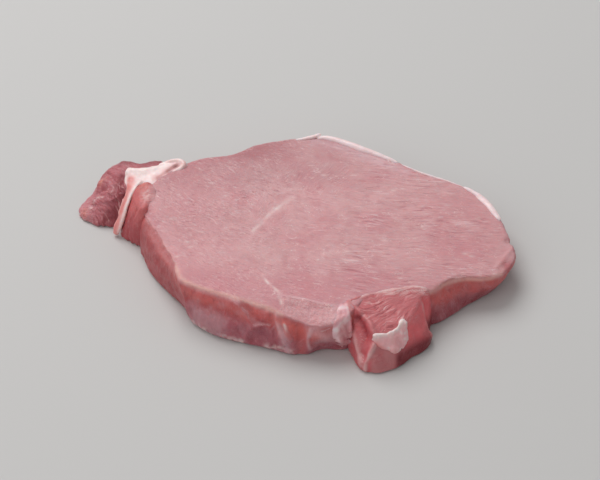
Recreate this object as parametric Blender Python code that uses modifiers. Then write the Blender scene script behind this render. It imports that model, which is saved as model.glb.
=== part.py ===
"""A raw boneless pork loin chop lying on its flat underside.

One solid: the pale loin eye, a folded flap of muscle at its front corner, a small red tongue of
muscle at its left end, a tail lobe beyond that, and the folded band of fat which joins them.
Frame: +X runs along the chop from the tail to the thin end, +Y to the back edge, +Z up. The
origin is under the middle of the chop, on the plane that it lies on. Metres.
"""

import bmesh
import bpy
import numpy as np
from mathutils import Vector, noise

MM = 0.001

# Driving sizes, in millimetres
THICK_END = 15.0  # height of the eye at its thick left end
THIN_END = 10.2  # height of the eye at its thin right end
TAPER_FROM = -5.0  # the eye starts to thin here along X
TAPER_TO = 72.0
TAPER_POWER = 2.1
BACK_RISE = 0.5  # the back edge stands a little proud
EDGE_ROUND = 1.2  # rounding of every cut edge
FOOT_LIFT = 0.5  # how far the lower edges curl up from the board
WALL_BULGE = 0.7  # how far the cut walls swell at half height
CURVE_STEPS = 5  # points between two stations of an outline
UNDERSIDE_RINGS = (0.5, 1.0)  # loops of a block's underside, as shares of the way out to its edge
WALL_LEVELS = (0.0, 0.2, 0.5, 0.8, 1.0)  # loops of its wall, as shares of the height
TOP_RINGS = (0.85, 0.65, 0.4, 0.15)  # loops of its top, inwards from the edge
HALF_ROUND = (0.3, 0.4)  # inset and drop half-way round the top edge, in edge roundings
VOXEL = 0.75
WELD = 0.01
SMOOTH_ROUNDS = 5
LUMP_SIZE = 15.0  # spacing of the soft swells of the meat
LUMP_HEIGHT = 0.35
LUMPS_FADE_BELOW = 5.0
FLAT_BELOW = 0.45  # what comes this near the board lies on it
TRIANGLES = 8200
MEAT_COLOUR = (0.56, 0.29, 0.29, 1.0)
MEAT_ROUGHNESS = 0.42

# Where the back edge rises, and the sunken muscle behind the front corner
BACK_RISE_FROM = 22.0
BACK_RISE_RUN = 22.0
SHOULDER_X = 6.5
SHOULDER_HALF_LENGTH = 17.0
SHOULDER_Y = -32.5
SHOULDER_RUN = 7.0
SHOULDER_DROP = 2.6

# Outlines seen from above. Each station is (x, y, lean): a point of the top rim, and how far
# the wall's foot stands out from it (negative where the wall is undercut).
EYE = (
    (-48.8, 9.8, 0.6),
    (-45.3, 1.3, 2.0),
    (-42.0, -7.0, 1.3),
    (-37.8, -17.6, -2.0),
    (-35.3, -23.2, -3.2),
    (-31.0, -25.8, 0.3),
    (-23.5, -28.4, 3.5),
    (-15.4, -31.6, 3.7),
    (-6.5, -35.4, 2.6),
    (3.0, -39.2, 1.8),
    (11.0, -40.2, -1.6),
    (17.2, -37.8, 1.0),
    (25.0, -29.2, 0.0),
    (34.0, -26.4, 0.0),
    (43.0, -25.2, 2.8),
    (49.0, -20.6, 3.6),
    (54.0, -18.2, 2.2),
    (61.0, -18.0, -2.4),
    (67.3, -15.0, -4.0),
    (72.2, -6.4, -4.2),
    (71.0, 2.4, -2.4),
    (69.0, 11.0, -1.0),
    (64.0, 21.2, -0.8),
    (56.0, 27.4, -0.8),
    (43.6, 32.2, -0.6),
    (32.6, 39.4, -0.6),
    (20.4, 46.0, -0.6),
    (9.5, 49.0, -0.6),
    (-3.0, 47.0, -0.4),
    (-12.0, 44.2, 0.0),
    (-20.4, 39.0, 0.4),
    (-30.0, 37.4, 0.6),
    (-38.0, 32.6, 0.0),
    (-45.5, 25.0, 0.0),
    (-47.6, 18.0, 1.0),
)
FLAP = (
    (17.2, -31.8, 0.6),
    (19.4, -35.6, 2.2),
    (22.0, -39.6, 3.6),
    (25.4, -42.4, 5.8),
    (30.0, -42.0, 5.2),
    (34.8, -39.0, 3.4),
    (38.4, -34.6, 3.4),
    (40.8, -29.4, 1.8),
    (43.2, -23.6, 0.8),
    (38.0, -22.9, 0.0),
    (30.6, -24.6, 0.0),
    (24.0, -27.0, 0.0),
    (19.6, -29.4, 0.0),
)
TAIL = (
    (-58.0, 22.3, 3.4),
    (-61.5, 22.8, 4.0),
    (-65.6, 25.2, 4.8),
    (-67.6, 27.6, 3.8),
    (-65.4, 32.4, 0.8),
    (-63.4, 37.8, 0.2),
    (-58.0, 39.8, 0.0),
    (-51.5, 38.0, 0.0),
    (-44.0, 39.2, 0.0),
    (-41.0, 35.0, 0.0),
    (-46.0, 28.0, 0.0),
    (-53.0, 24.0, 0.0),
)
TONGUE = (
    (-47.6, 11.4, 2.2),
    (-49.2, 12.6, 3.6),
    (-51.0, 16.0, 5.2),
    (-52.0, 20.2, 4.0),
    (-51.4, 23.6, 1.4),
    (-49.2, 25.4, 0.0),
    (-46.8, 24.8, 0.0),
    (-45.0, 21.6, 0.0),
    (-44.2, 18.0, 0.0),
    (-44.2, 14.2, 0.0),
    (-45.4, 11.6, 0.0),
)
FAT_BAR = (
    (-34.4, 32.6, 0.0),
    (-36.6, 36.2, 0.0),
    (-40.0, 36.0, 0.0),
    (-45.5, 34.0, 0.0),
    (-51.0, 33.6, 0.0),
    (-55.4, 34.0, 1.0),
    (-56.4, 30.6, 1.6),
    (-55.6, 26.6, 1.0),
    (-52.6, 24.2, 0.0),
    (-49.6, 24.0, 0.0),
    (-45.6, 23.0, 0.0),
    (-42.6, 25.4, 0.0),
    (-38.6, 28.8, 0.0),
)

# Middle of each block in plan, inside its outline
EYE_MIDDLE = (8.0, 5.0)
FLAP_MIDDLE = (30.0, -33.0)
TAIL_MIDDLE = (-56.0, 30.5)
TONGUE_MIDDLE = (-48.2, 18.4)
BAR_MIDDLE = (-46.0, 29.4)

# Height of each smaller block's top at a point of its plan, and how it falls away from there
FLAP_HEIGHT = 14.8
FLAP_FROM = (17.0, -28.0)
FLAP_FALL = (0.055, 0.165)
TAIL_TIP_X = -70.5
TAIL_RISE_RUN = 14.0
TAIL_TIP_HEIGHT = 3.8
TAIL_RISE = 9.4
TAIL_RISE_POWER = 0.9
TAIL_FROM_Y = 34.0
TAIL_FALL = 0.14
TONGUE_HEIGHT = 15.7
TONGUE_LEFT_X = -47.2
TONGUE_LEFT_FALL = 0.38
TONGUE_RIGHT_X = -46.0
TONGUE_RIGHT_FALL = 0.35
TONGUE_BACK_Y = 21.0
TONGUE_BACK_FALL = 0.10
BAR_HEIGHT = 15.1
BAR_FROM = (-47.0, 30.0)
BAR_SLOPE = (0.07, 0.12)

# The narrow band of fat that runs down between tail and tongue to the board
FAT_BAND = (
    (-53.6, 29.5, 12.4),
    (-54.4, 25.0, 11.4),
    (-55.2, 21.2, 9.2),
    (-56.8, 18.2, 5.6),
    (-57.9, 15.8, 1.7),
)
FAT_BAND_RADIUS = 1.7
BAND_BEVEL_STEPS = 4
BAND_CURVE_STEPS = 6

# Furrows pressed into the meat: (radius, depth, points of the furrow's line)
FURROWS = (
    (2.2, 2.0, ((-47.6, 12.0, 15.0), (-48.8, 11.0, 10.0), (-50.2, 10.8, 3.0))),  # eye and tongue
    (2.2, 2.2, ((21.0, -36.4, 13.4), (22.6, -39.2, 12.0), (23.4, -42.4, 7.5))),  # under the flap's fold
    (1.6, 1.5, ((-38.5, 33.0, 16.0), (-42.0, 30.2, 15.5), (-46.0, 29.0, 15.0))),  # inside the fold
    (1.8, 1.5, ((-54.6, 31.0, 14.0), (-57.2, 27.0, 11.0), (-58.8, 21.6, 6.0))),  # tail and band
    (1.6, 1.0, ((8.0, -41.5, 0.5), (13.0, -40.5, 0.8), (18.0, -41.0, 0.8))),  # gap under the front
    (2.0, 0.9, ((67.5, -9.5, 10.5), (68.6, -10.2, 6.0))),  # dent in the thin end
    (1.4, 0.8, ((69.5, 1.0, 10.6), (71.0, 0.2, 7.0))),
    (2.6, 0.8, ((-29.5, -27.0, 12.0), (-26.0, -31.0, 2.0))),
    (2.4, 0.7, ((0.5, -41.0, 9.0), (1.0, -41.0, 2.0))),
)


def share_of(value, start, run):
    """How far the value is through a run that begins at the start, held between 0 and 1."""
    return min(max((value - start) / run, 0.0), 1.0)


def eye_top(x, y):
    """Height of the eye's upper face: a taper along X, and a shoulder down to the front corner."""
    along = share_of(x, TAPER_FROM, TAPER_TO - TAPER_FROM)
    height = THICK_END - (THICK_END - THIN_END) * along**TAPER_POWER
    height += BACK_RISE * share_of(y, BACK_RISE_FROM, BACK_RISE_RUN)
    shoulder = max(0.0, 1.0 - abs(x - SHOULDER_X) / SHOULDER_HALF_LENGTH)
    return height - SHOULDER_DROP * shoulder * share_of(-y, -SHOULDER_Y, SHOULDER_RUN)


def flap_top(x, y):
    return FLAP_HEIGHT - FLAP_FALL[0] * (x - FLAP_FROM[0]) - FLAP_FALL[1] * max(0.0, FLAP_FROM[1] - y)


def tail_top(x, y):
    rise = share_of(x, TAIL_TIP_X, TAIL_RISE_RUN)
    return TAIL_TIP_HEIGHT + TAIL_RISE * rise**TAIL_RISE_POWER - TAIL_FALL * max(0.0, TAIL_FROM_Y - y)


def tongue_top(x, y):
    height = TONGUE_HEIGHT - TONGUE_LEFT_FALL * max(0.0, TONGUE_LEFT_X - x)
    height -= TONGUE_RIGHT_FALL * max(0.0, x - TONGUE_RIGHT_X)
    return height - TONGUE_BACK_FALL * max(0.0, y - TONGUE_BACK_Y)


def bar_top(x, y):
    return BAR_HEIGHT + BAR_SLOPE[0] * (x - BAR_FROM[0]) + BAR_SLOPE[1] * (y - BAR_FROM[1])


def smooth_loop(stations):
    """A closed curve through the stations, with CURVE_STEPS points from each to the next."""
    points = np.array(stations)
    after = np.roll(points, -1, axis=0)
    slope = (after - np.roll(points, 1, axis=0)) / 2
    slope_after = np.roll(slope, -1, axis=0)
    curve = []
    for step in range(CURVE_STEPS):
        t = step / CURVE_STEPS
        curve.append(
            (2 * t**3 - 3 * t**2 + 1) * points
            + (t**3 - 2 * t**2 + t) * slope
            + (3 * t**2 - 2 * t**3) * after
            + (t**3 - t**2) * slope_after
        )
    return np.stack(curve, axis=1).reshape(-1, points.shape[1])


def outward(outline):
    """Unit normals of a closed outline in plan, pointing away from its inside."""
    along = np.roll(outline, -1, axis=0) - np.roll(outline, 1, axis=0)
    normal = np.stack([along[:, 1], -along[:, 0]], axis=1)
    normal /= np.linalg.norm(normal, axis=1)[:, None]
    ahead = np.roll(outline, -1, axis=0)
    area = np.sum(outline[:, 0] * ahead[:, 1] - outline[:, 1] * ahead[:, 0])
    return normal * np.sign(area)


def block_rings(stations, top, centre):
    """The level loops of a block of meat, from its underside up the wall and over its top."""
    loop = smooth_loop(stations)
    rim, lean = loop[:, :2], loop[:, 2:]
    out = outward(rim)
    foot = rim + out * lean
    height = np.array([top(x, y) for x, y in rim])
    middle = np.array(centre)
    level = np.zeros(len(height))
    rings = [(middle + (foot - out * EDGE_ROUND - middle) * share, level) for share in UNDERSIDE_RINGS]
    for share in WALL_LEVELS:
        swell = WALL_BULGE * np.sin(np.pi * share)
        level = FOOT_LIFT + (height - EDGE_ROUND - FOOT_LIFT) * share
        rings.append((foot + (rim - foot) * share + out * swell, level))
    rings.append((rim - out * HALF_ROUND[0] * EDGE_ROUND, height - HALF_ROUND[1] * EDGE_ROUND))
    rings.append((rim - out * EDGE_ROUND, height))
    for share in TOP_RINGS:
        ring = middle + (rim - out * EDGE_ROUND - middle) * share
        rings.append((ring, np.array([top(x, y) for x, y in ring])))
    return [np.column_stack(ring) for ring in rings]


def add_loop(mesh, points):
    verts = [mesh.verts.new(Vector(point) * MM) for point in points]
    for vert, after in zip(verts, verts[1:] + verts[:1]):
        mesh.edges.new((vert, after))
    return verts


def loop_edges(mesh, verts):
    return [mesh.edges.get((vert, after)) for vert, after in zip(verts, verts[1:] + verts[:1])]


def block_mesh(stations, top, centre):
    """A closed block: its level loops bridged one to the next and closed at both ends."""
    mesh = bmesh.new()
    loops = [add_loop(mesh, ring) for ring in block_rings(stations, top, centre)]
    for lower, upper in zip(loops, loops[1:]):
        bmesh.ops.bridge_loops(mesh, edges=loop_edges(mesh, lower) + loop_edges(mesh, upper))
    mesh.faces.new(loops[0])
    mesh.faces.new(loops[-1])
    bmesh.ops.recalc_face_normals(mesh, faces=mesh.faces)
    return mesh


def band_object(collection):
    """The band of fat as a round cord, flattened later by the smoothing of the whole."""
    curve = bpy.data.curves.new("fat_band_line", "CURVE")
    curve.dimensions = "3D"
    curve.bevel_depth = FAT_BAND_RADIUS * MM
    curve.bevel_resolution = BAND_BEVEL_STEPS
    curve.use_fill_caps = True
    curve.resolution_u = BAND_CURVE_STEPS
    spline = curve.splines.new("BEZIER")
    spline.bezier_points.add(len(FAT_BAND) - 1)
    for point, place in zip(spline.bezier_points, FAT_BAND):
        point.co = Vector(place) * MM
        point.handle_left_type = "AUTO"
        point.handle_right_type = "AUTO"
    cord = bpy.data.objects.new("fat_band_line", curve)
    collection.objects.link(cord)
    return cord


def evaluated_mesh(item):
    bpy.context.view_layer.update()
    return bpy.data.meshes.new_from_object(item.evaluated_get(bpy.context.evaluated_depsgraph_get()))


def joined_meat(collection):
    """All blocks and the band in one mesh, made one skin by a voxel remesh."""
    whole = bmesh.new()
    blocks = (
        (EYE, eye_top, EYE_MIDDLE),
        (FLAP, flap_top, FLAP_MIDDLE),
        (TAIL, tail_top, TAIL_MIDDLE),
        (TONGUE, tongue_top, TONGUE_MIDDLE),
        (FAT_BAR, bar_top, BAR_MIDDLE),
    )
    for stations, top, centre in blocks:
        block = block_mesh(stations, top, centre)
        data = bpy.data.meshes.new("block")
        block.to_mesh(data)
        block.free()
        whole.from_mesh(data)
        bpy.data.meshes.remove(data)
    cord = band_object(collection)
    data = evaluated_mesh(cord)
    bpy.data.objects.remove(cord)
    whole.from_mesh(data)
    bmesh.ops.remove_doubles(whole, verts=whole.verts, dist=WELD * MM)
    merged = bpy.data.meshes.new("pork_chop")
    whole.to_mesh(merged)
    whole.free()
    chop = bpy.data.objects.new("pork_chop", merged)
    collection.objects.link(chop)
    remesh = chop.modifiers.new("One skin", "REMESH")
    remesh.mode = "VOXEL"
    remesh.voxel_size = VOXEL * MM
    apply_modifiers(chop)
    return chop


def apply_modifiers(item):
    data = evaluated_mesh(item)
    item.modifiers.clear()
    item.data = data


def distance_to_line(points, line):
    """Distance of each point to the nearest stretch of a broken line."""
    nearest = np.full(len(points), np.inf)
    for start, end in zip(line, line[1:]):
        start, end = np.array(start), np.array(end)
        span = end - start
        share = np.clip((points - start) @ span / (span @ span), 0.0, 1.0)
        nearest = np.minimum(nearest, np.linalg.norm(points - start - share[:, None] * span, axis=1))
    return nearest


def skin_arrays(data):
    """Points in millimetres and unit normals of the skin."""
    points = np.array([tuple(vert.co) for vert in data.vertices]) / MM
    normals = np.array([tuple(vert.normal) for vert in data.vertices])
    return points, normals


def set_points(data, points):
    data.vertices.foreach_set("co", (points * MM).ravel())
    data.update()


def press_furrows(data):
    """Pushes the skin in along each furrow, deepest on its line and fading over two radii."""
    points, normals = skin_arrays(data)
    for radius, depth, line in FURROWS:
        away = distance_to_line(points, line) / radius
        points -= normals * (depth * np.exp(-(away**2)))[:, None]
    set_points(data, points)


def raise_lumps(data):
    """Soft swells of the upper side, fading out towards the board."""
    points, normals = skin_arrays(data)
    swell = np.array([noise.noise(Vector(point) / LUMP_SIZE) for point in points])
    swell *= LUMP_HEIGHT * np.clip(points[:, 2] / LUMPS_FADE_BELOW, 0.0, 1.0)
    set_points(data, points + normals * swell[:, None])


def lay_flat(data):
    """Sets the underside on the plane, and centres the chop over the origin."""
    points, _ = skin_arrays(data)
    points[:, 2] -= points[:, 2].min()
    points[points[:, 2] < FLAT_BELOW, 2] = 0.0
    points[:, :2] -= (points[:, :2].min(axis=0) + points[:, :2].max(axis=0)) / 2
    set_points(data, points)


def smooth_skin(chop):
    smooth = chop.modifiers.new("Soften", "CORRECTIVE_SMOOTH")
    smooth.iterations = SMOOTH_ROUNDS
    smooth.use_only_smooth = True
    apply_modifiers(chop)


def thin_out(chop):
    """Fewer, larger faces where the skin is even."""
    faces = sum(len(face.vertices) - 2 for face in chop.data.polygons)
    decimate = chop.modifiers.new("Fewer faces", "DECIMATE")
    decimate.ratio = TRIANGLES / faces
    apply_modifiers(chop)


def raw_pork():
    material = bpy.data.materials.new("raw pork")
    material.use_nodes = True
    shader = material.node_tree.nodes["Principled BSDF"]
    shader.inputs["Base Color"].default_value = MEAT_COLOUR
    shader.inputs["Roughness"].default_value = MEAT_ROUGHNESS
    shader.inputs["Metallic"].default_value = 0.0
    return material


def main():
    for item in list(bpy.data.objects):
        bpy.data.objects.remove(item)
    collection = bpy.data.collections.new("raw_pork_chop")
    bpy.context.scene.collection.children.link(collection)
    chop = joined_meat(collection)
    smooth_skin(chop)
    press_furrows(chop.data)
    raise_lumps(chop.data)
    smooth_skin(chop)
    lay_flat(chop.data)
    thin_out(chop)
    lay_flat(chop.data)
    chop.data.shade_smooth()
    chop.data.materials.clear()
    chop.data.materials.append(raw_pork())


main()
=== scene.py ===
import math
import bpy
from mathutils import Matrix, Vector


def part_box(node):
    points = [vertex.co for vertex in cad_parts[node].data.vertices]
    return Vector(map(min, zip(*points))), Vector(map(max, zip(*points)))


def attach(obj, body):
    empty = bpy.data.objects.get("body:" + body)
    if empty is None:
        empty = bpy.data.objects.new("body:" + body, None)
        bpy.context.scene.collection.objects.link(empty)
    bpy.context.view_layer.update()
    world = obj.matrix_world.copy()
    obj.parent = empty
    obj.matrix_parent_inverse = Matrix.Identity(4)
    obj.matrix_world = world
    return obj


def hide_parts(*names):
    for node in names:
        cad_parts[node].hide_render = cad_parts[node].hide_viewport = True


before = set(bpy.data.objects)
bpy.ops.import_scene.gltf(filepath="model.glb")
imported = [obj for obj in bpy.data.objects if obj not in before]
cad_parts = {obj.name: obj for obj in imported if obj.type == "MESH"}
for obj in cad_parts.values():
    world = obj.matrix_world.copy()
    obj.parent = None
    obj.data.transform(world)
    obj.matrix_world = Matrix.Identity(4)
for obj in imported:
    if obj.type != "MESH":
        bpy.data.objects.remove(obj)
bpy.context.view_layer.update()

from types import SimpleNamespace

import bmesh
import bpy
import numpy as np
from mathutils import Vector, noise
from mathutils.bvhtree import BVHTree

mm = 0.001
cadNode = "pork_chop"
cadLow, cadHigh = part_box(cadNode)
cadMiddle = [(low + high) / 2 / mm for low, high in zip(cadLow, cadHigh)]
outlineMiddle = (0.53, 0.75)  # the outlines below are drawn about this point, in millimetres
toFrame = np.array([cadMiddle[0] - outlineMiddle[0], cadMiddle[1] - outlineMiddle[1], 0])


def smoothLine(stations, steps, closed=True):
    # a curve through the stations, as many steps between each two
    points = np.array(stations, float)
    if closed:
        before, after = np.roll(points, 1, axis=0), np.roll(points, -1, axis=0)
    else:
        before, after = np.vstack([points[:1], points[:-1]]), np.vstack([points[1:], points[-1:]])
    slope = (after - before) / 2
    slopeAfter = np.roll(slope, -1, axis=0)
    curve = []
    for step in range(steps):
        t = step / steps
        curve.append((2 * t**3 - 3 * t**2 + 1) * points + (t**3 - 2 * t**2 + t) * slope
                     + (3 * t**2 - 2 * t**3) * after + (t**3 - t**2) * slopeAfter)
    curve = np.stack(curve, axis=1).reshape(-1, points.shape[1])
    return curve if closed else np.vstack([curve[:-steps], points[-1:]])


def outwardOf(outline):
    along = np.roll(outline, -1, axis=0) - np.roll(outline, 1, axis=0)
    normal = np.stack([along[:, 1], -along[:, 0]], axis=1)
    normal /= np.linalg.norm(normal, axis=1)[:, None]
    ahead = np.roll(outline, -1, axis=0)
    area = np.sum(outline[:, 0] * ahead[:, 1] - outline[:, 1] * ahead[:, 0])
    return normal * np.sign(area)


def clamp(value, low=0.0, high=1.0):
    return np.minimum(np.maximum(value, low), high)


def softStep(value, low, high):
    t = clamp((value - low) / (high - low))
    return t * t * (3 - 2 * t)


def noiseAt(points, size, seed=0.0, stretch=(1, 1, 1)):
    # smooth noise of this size in millimetres at each point, drawn out where the stretch is small
    shift = Vector((seed, 0.7 * seed, -1.3 * seed))
    return np.array([noise.noise(Vector(point) / size + shift) for point in points * np.array(stretch)])


def awayFrom(points, line):
    # distance of each point to a broken line
    nearest = np.full(len(points), np.inf)
    for start, end in zip(line, line[1:]):
        start, end = np.array(start, float), np.array(end, float)
        span = end - start
        share = clamp((points - start) @ span / (span @ span))
        nearest = np.minimum(nearest, np.linalg.norm(points - start - share[:, None] * span, axis=1))
    return nearest


def nearLine(points, line, width):
    # 1 on the line, fading to nothing over two widths
    return np.exp(-((awayFrom(points, line) / width) ** 2))


def nearCurve(points, stations, width):
    return nearLine(points, smoothLine(stations, 4, False), width)


def nearSpot(points, centre, width):
    apart = (points - np.array(centre, float)) / np.array(width, float)
    return np.exp(-(np.linalg.norm(apart, axis=1) ** 2))


def insidePatch(points, corners, facing, soft):
    # 1 inside a patch drawn on the skin, looked at along the facing direction, 0 outside it
    facing = Vector(facing).normalized()
    across = Vector((1, 0, 0))
    up = facing.cross(across).normalized()
    basis = np.array([tuple(across), tuple(up)])
    flat, edge = points @ basis.T, np.array(corners, float) @ basis.T
    inside = np.zeros(len(points), bool)
    nearest = np.full(len(points), np.inf)
    for start, end in zip(edge, np.roll(edge, -1, axis=0)):
        crosses = (start[1] > flat[:, 1]) != (end[1] > flat[:, 1])
        rise = end[1] - start[1] if end[1] != start[1] else 1e-9
        cut = (end[0] - start[0]) * (flat[:, 1] - start[1]) / rise + start[0]
        inside ^= crosses & (flat[:, 0] < cut)
        span = end - start
        share = clamp((flat - start) @ span / (span @ span))
        nearest = np.minimum(nearest, np.linalg.norm(flat - start - share[:, None] * span, axis=1))
    return softStep(np.where(inside, nearest, -nearest), -soft, soft)


blockShares = {  # where a muscle's level loops lie, as shares of its underside, its wall and its top
    "underside": (0.5, 1.0), "wall": (0.0, 0.2, 0.5, 0.8, 1.0), "top": (0.85, 0.65, 0.4, 0.15),
    "rimIn": 0.3, "rimDown": 0.4,
}


def blockRings(block):
    # level loops of one muscle, up from its underside and over its top
    loop = smoothLine(block["outline"], block["steps"])
    rim, lean = loop[:, :2], loop[:, 2:]
    out = outwardOf(rim)
    foot = rim + out * lean
    top, middle = block["top"], np.array(block["middle"])
    height = top(rim[:, 0], rim[:, 1])
    rounding, lift = block["rounding"], block["lift"]
    rings = []
    for share in blockShares["underside"]:
        rings.append((middle + (foot - out * rounding - middle) * share, 0 * height))
    for share in blockShares["wall"]:
        swell = block["swell"] * math.sin(math.pi * share)
        rings.append((foot + (rim - foot) * share + out * swell, lift + (height - rounding - lift) * share))
    rings.append((rim - out * blockShares["rimIn"] * rounding, height - blockShares["rimDown"] * rounding))
    rings.append((rim - out * rounding, height))
    for share in blockShares["top"]:
        ring = middle + (rim - out * rounding - middle) * share
        rings.append((ring, top(ring[:, 0], ring[:, 1])))
    return [np.column_stack(ring) for ring in rings]


def addRings(mesh, rings):
    # closed loops of points bridged in order and capped at both ends
    loops = []
    for ring in rings:
        verts = bmesh.ops.create_circle(mesh, segments=len(ring), radius=1.0)["verts"]
        for vert, point in zip(verts, ring):
            vert.co = Vector(point) * mm
        loops.append([mesh.edges.get((vert, after)) for vert, after in zip(verts, verts[1:] + verts[:1])])
    for lower, upper in zip(loops, loops[1:]):
        bmesh.ops.bridge_loops(mesh, edges=lower + upper)
    for ends in (loops[0], loops[-1]):
        bmesh.ops.contextual_create(mesh, geom=ends)
    bmesh.ops.recalc_face_normals(mesh, faces=mesh.faces)


def blockMesh(block):
    mesh = bmesh.new()
    addRings(mesh, blockRings(block))
    return mesh


def turnsOf(segments):
    return np.linspace(0, 2 * math.pi, segments, endpoint=False)[:, None]


def unit(vectors):
    return vectors / np.linalg.norm(vectors, axis=1)[:, None]


def addSheet(mesh, oneEdge, otherEdge, thick, steps=6, segments=24, flatness=0.6):
    # a strip of even thickness between two edges that run side by side
    one, other = smoothLine(oneEdge, steps, False), smoothLine(otherEdge, steps, False)
    middle, across = (one + other) / 2, (other - one) / 2
    out = unit(np.cross(np.gradient(middle, axis=0), across))
    turn = turnsOf(segments)
    flat = np.sign(np.cos(turn)) * abs(np.cos(turn)) ** flatness
    addRings(mesh, [middle[place] + across[place] * flat + out[place] * thick / 2 * np.sin(turn)
                    for place in range(len(middle))])


def addCord(mesh, line, radius, steps=6, segments=12, endShare=0.35, fullness=0.6):
    # a soft ridge along a line, thinner at both ends
    line = smoothLine(line, steps, False)
    along = np.gradient(line, axis=0)
    across = unit(np.cross(along, np.array([0.3, -0.5, 0.8])))
    out = unit(np.cross(across, along))
    turn = turnsOf(segments)
    rings = []
    for place, share in enumerate(np.linspace(0, 1, len(line))):
        wide = radius * (endShare + (1 - endShare) * math.sin(math.pi * share) ** fullness)
        rings.append(line[place] + wide * (across[place] * np.cos(turn) + out[place] * np.sin(turn)))
    addRings(mesh, rings)


def groundOf(pieces):
    # the pieces as one surface to lay patches on, before they are settled in place
    points, faces = [], []
    for piece in pieces:
        start = len(points)
        points += [vert.co / mm for vert in piece.data.vertices]
        faces += [[start + index for index in face.vertices] for face in piece.data.polygons]
    return BVHTree.FromPolygons(points, faces)


padShares = {"below": (0.2, 0.6, 1.0), "above": (1.0, 0.93, 0.8, 0.6, 0.35, 0.12)}
padSink, padReach = 0.7, 7.0  # how deep a pad's back lies in the ground, and how far off its search starts


def addPatch(mesh, ground, corners, facing, height, ragged, dome):
    # a thin pad with this outline, laid against the ground from the facing side
    loop = smoothLine(corners, 5)
    facing = Vector(facing).normalized()
    centre = loop.mean(axis=0)
    edge = 1 + ragged * noiseAt(loop, 0.8, 3.3)[:, None]
    rings = []
    for side in ("below", "above"):
        for share in padShares[side]:
            rise = -padSink if side == "below" else height * (1 - share**4) ** dome
            ring = []
            for point in centre + (loop - centre) * share * edge:
                start = Vector(point) + facing * padReach
                place = ground.ray_cast(start, -facing, 16.0)[0] or Vector(point)
                ring.append(place + facing * rise)
            rings.append(np.array(ring))
    addRings(mesh, rings)


def newPiece(name, mesh):
    data = bpy.data.meshes.new(name)
    mesh.to_mesh(data)
    mesh.free()
    piece = bpy.data.objects.new(name, data)
    bpy.context.scene.collection.objects.link(piece)
    return piece


def applyModifiers(piece):
    bpy.context.view_layer.update()
    graph = bpy.context.evaluated_depsgraph_get()
    data = bpy.data.meshes.new_from_object(piece.evaluated_get(graph))
    piece.modifiers.clear()
    piece.data = data


def oneSkin(piece, voxel):
    remesh = piece.modifiers.new("One skin", "REMESH")
    remesh.mode = "VOXEL"
    remesh.voxel_size = voxel * mm
    applyModifiers(piece)


def soften(piece, rounds):
    smooth = piece.modifiers.new("Soften", "CORRECTIVE_SMOOTH")
    smooth.iterations = rounds
    smooth.use_only_smooth = True
    applyModifiers(piece)


def thinUnderside(piece, keep, flatBelow=0.12):
    # the hidden flat underside needs few faces
    group = piece.vertex_groups.new(name="underside")
    flat = [vert.index for vert in piece.data.vertices if vert.co.z < flatBelow * mm]
    group.add(flat, 1.0, "REPLACE")
    before = len(piece.data.polygons) * 2
    decimate = piece.modifiers.new("Fewer below", "DECIMATE")
    decimate.vertex_group = "underside"
    decimate.ratio = 1.0 - (1.0 - keep) * len(flat) * 2 / before
    applyModifiers(piece)
    piece.vertex_groups.clear()


def readSkin(piece):
    both = []
    for name, scale in (("co", mm), ("normal", 1.0)):
        values = np.empty(len(piece.data.vertices) * 3)
        piece.data.vertices.foreach_get(name, values)
        both.append(values.reshape(-1, 3) / scale)
    return both


def writeSkin(piece, points):
    piece.data.vertices.foreach_set("co", (points * mm).ravel())
    piece.data.update()


def raiseSkin(piece, points, normals, heights):
    writeSkin(piece, points + normals * heights[:, None])


def pressStrokes(piece, strokes):
    # each stroke moves the skin along its own normal: out for a ridge, in for a furrow
    for width, height, line in strokes:
        points, normals = readSkin(piece)
        raiseSkin(piece, points, normals, height * nearCurve(points, line, width))


def settle(piece, flatBelow=0.3):
    # onto the floor, with the outlines' middle over the frame's middle
    points, _ = readSkin(piece)
    points[:, 2] = np.where(points[:, 2] < flatBelow, 0.0, points[:, 2])
    writeSkin(piece, points + toFrame)
    piece.data.shade_smooth()


def drawnSkin(piece):
    # the skin where the outlines were drawn, after it has been settled
    points, normals = readSkin(piece)
    return points - toFrame, normals


def linear(red, green, blue):
    # a screen colour, 0 to 255, as light
    shares = [value / 255 for value in (red, green, blue)]
    return np.array([s / 12.92 if s <= 0.0404 else ((s + 0.055) / 1.055) ** 2.4 for s in shares])


def paintColour(piece, look, base, layers):
    # layers of (colour in the look, strength at each point) over a base, kept on the piece as its tint
    tint = np.tile(look[base], (len(piece.data.vertices), 1))
    for name, strength in layers:
        strength = clamp(strength)[:, None]
        tint = tint * (1 - strength) + look[name] * strength
    attribute = piece.data.color_attributes.new("tint", "FLOAT_COLOR", "POINT")
    attribute.data.foreach_set("color", np.column_stack([tint, np.ones(len(tint))]).ravel())


maskNames = ("fatness", "cutFace", "wallness", "netting", "shortGrain", "rising")


def paintGrain(piece, fibre, otherFibre=None, **masks):
    # the run of the fibres, and the masks that the materials read, 0 where none is given
    for name in maskNames:
        attribute = piece.data.attributes.new(name, "FLOAT", "POINT")
        attribute.data.foreach_set("value", masks.get(name, 0.0) + np.zeros(len(fibre)))
    for name, run in (("fibre", fibre), ("otherFibre", fibre if otherFibre is None else otherFibre)):
        attribute = piece.data.attributes.new(name, "FLOAT_VECTOR", "POINT")
        attribute.data.foreach_set("vector", np.array(run, float).ravel())


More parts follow.
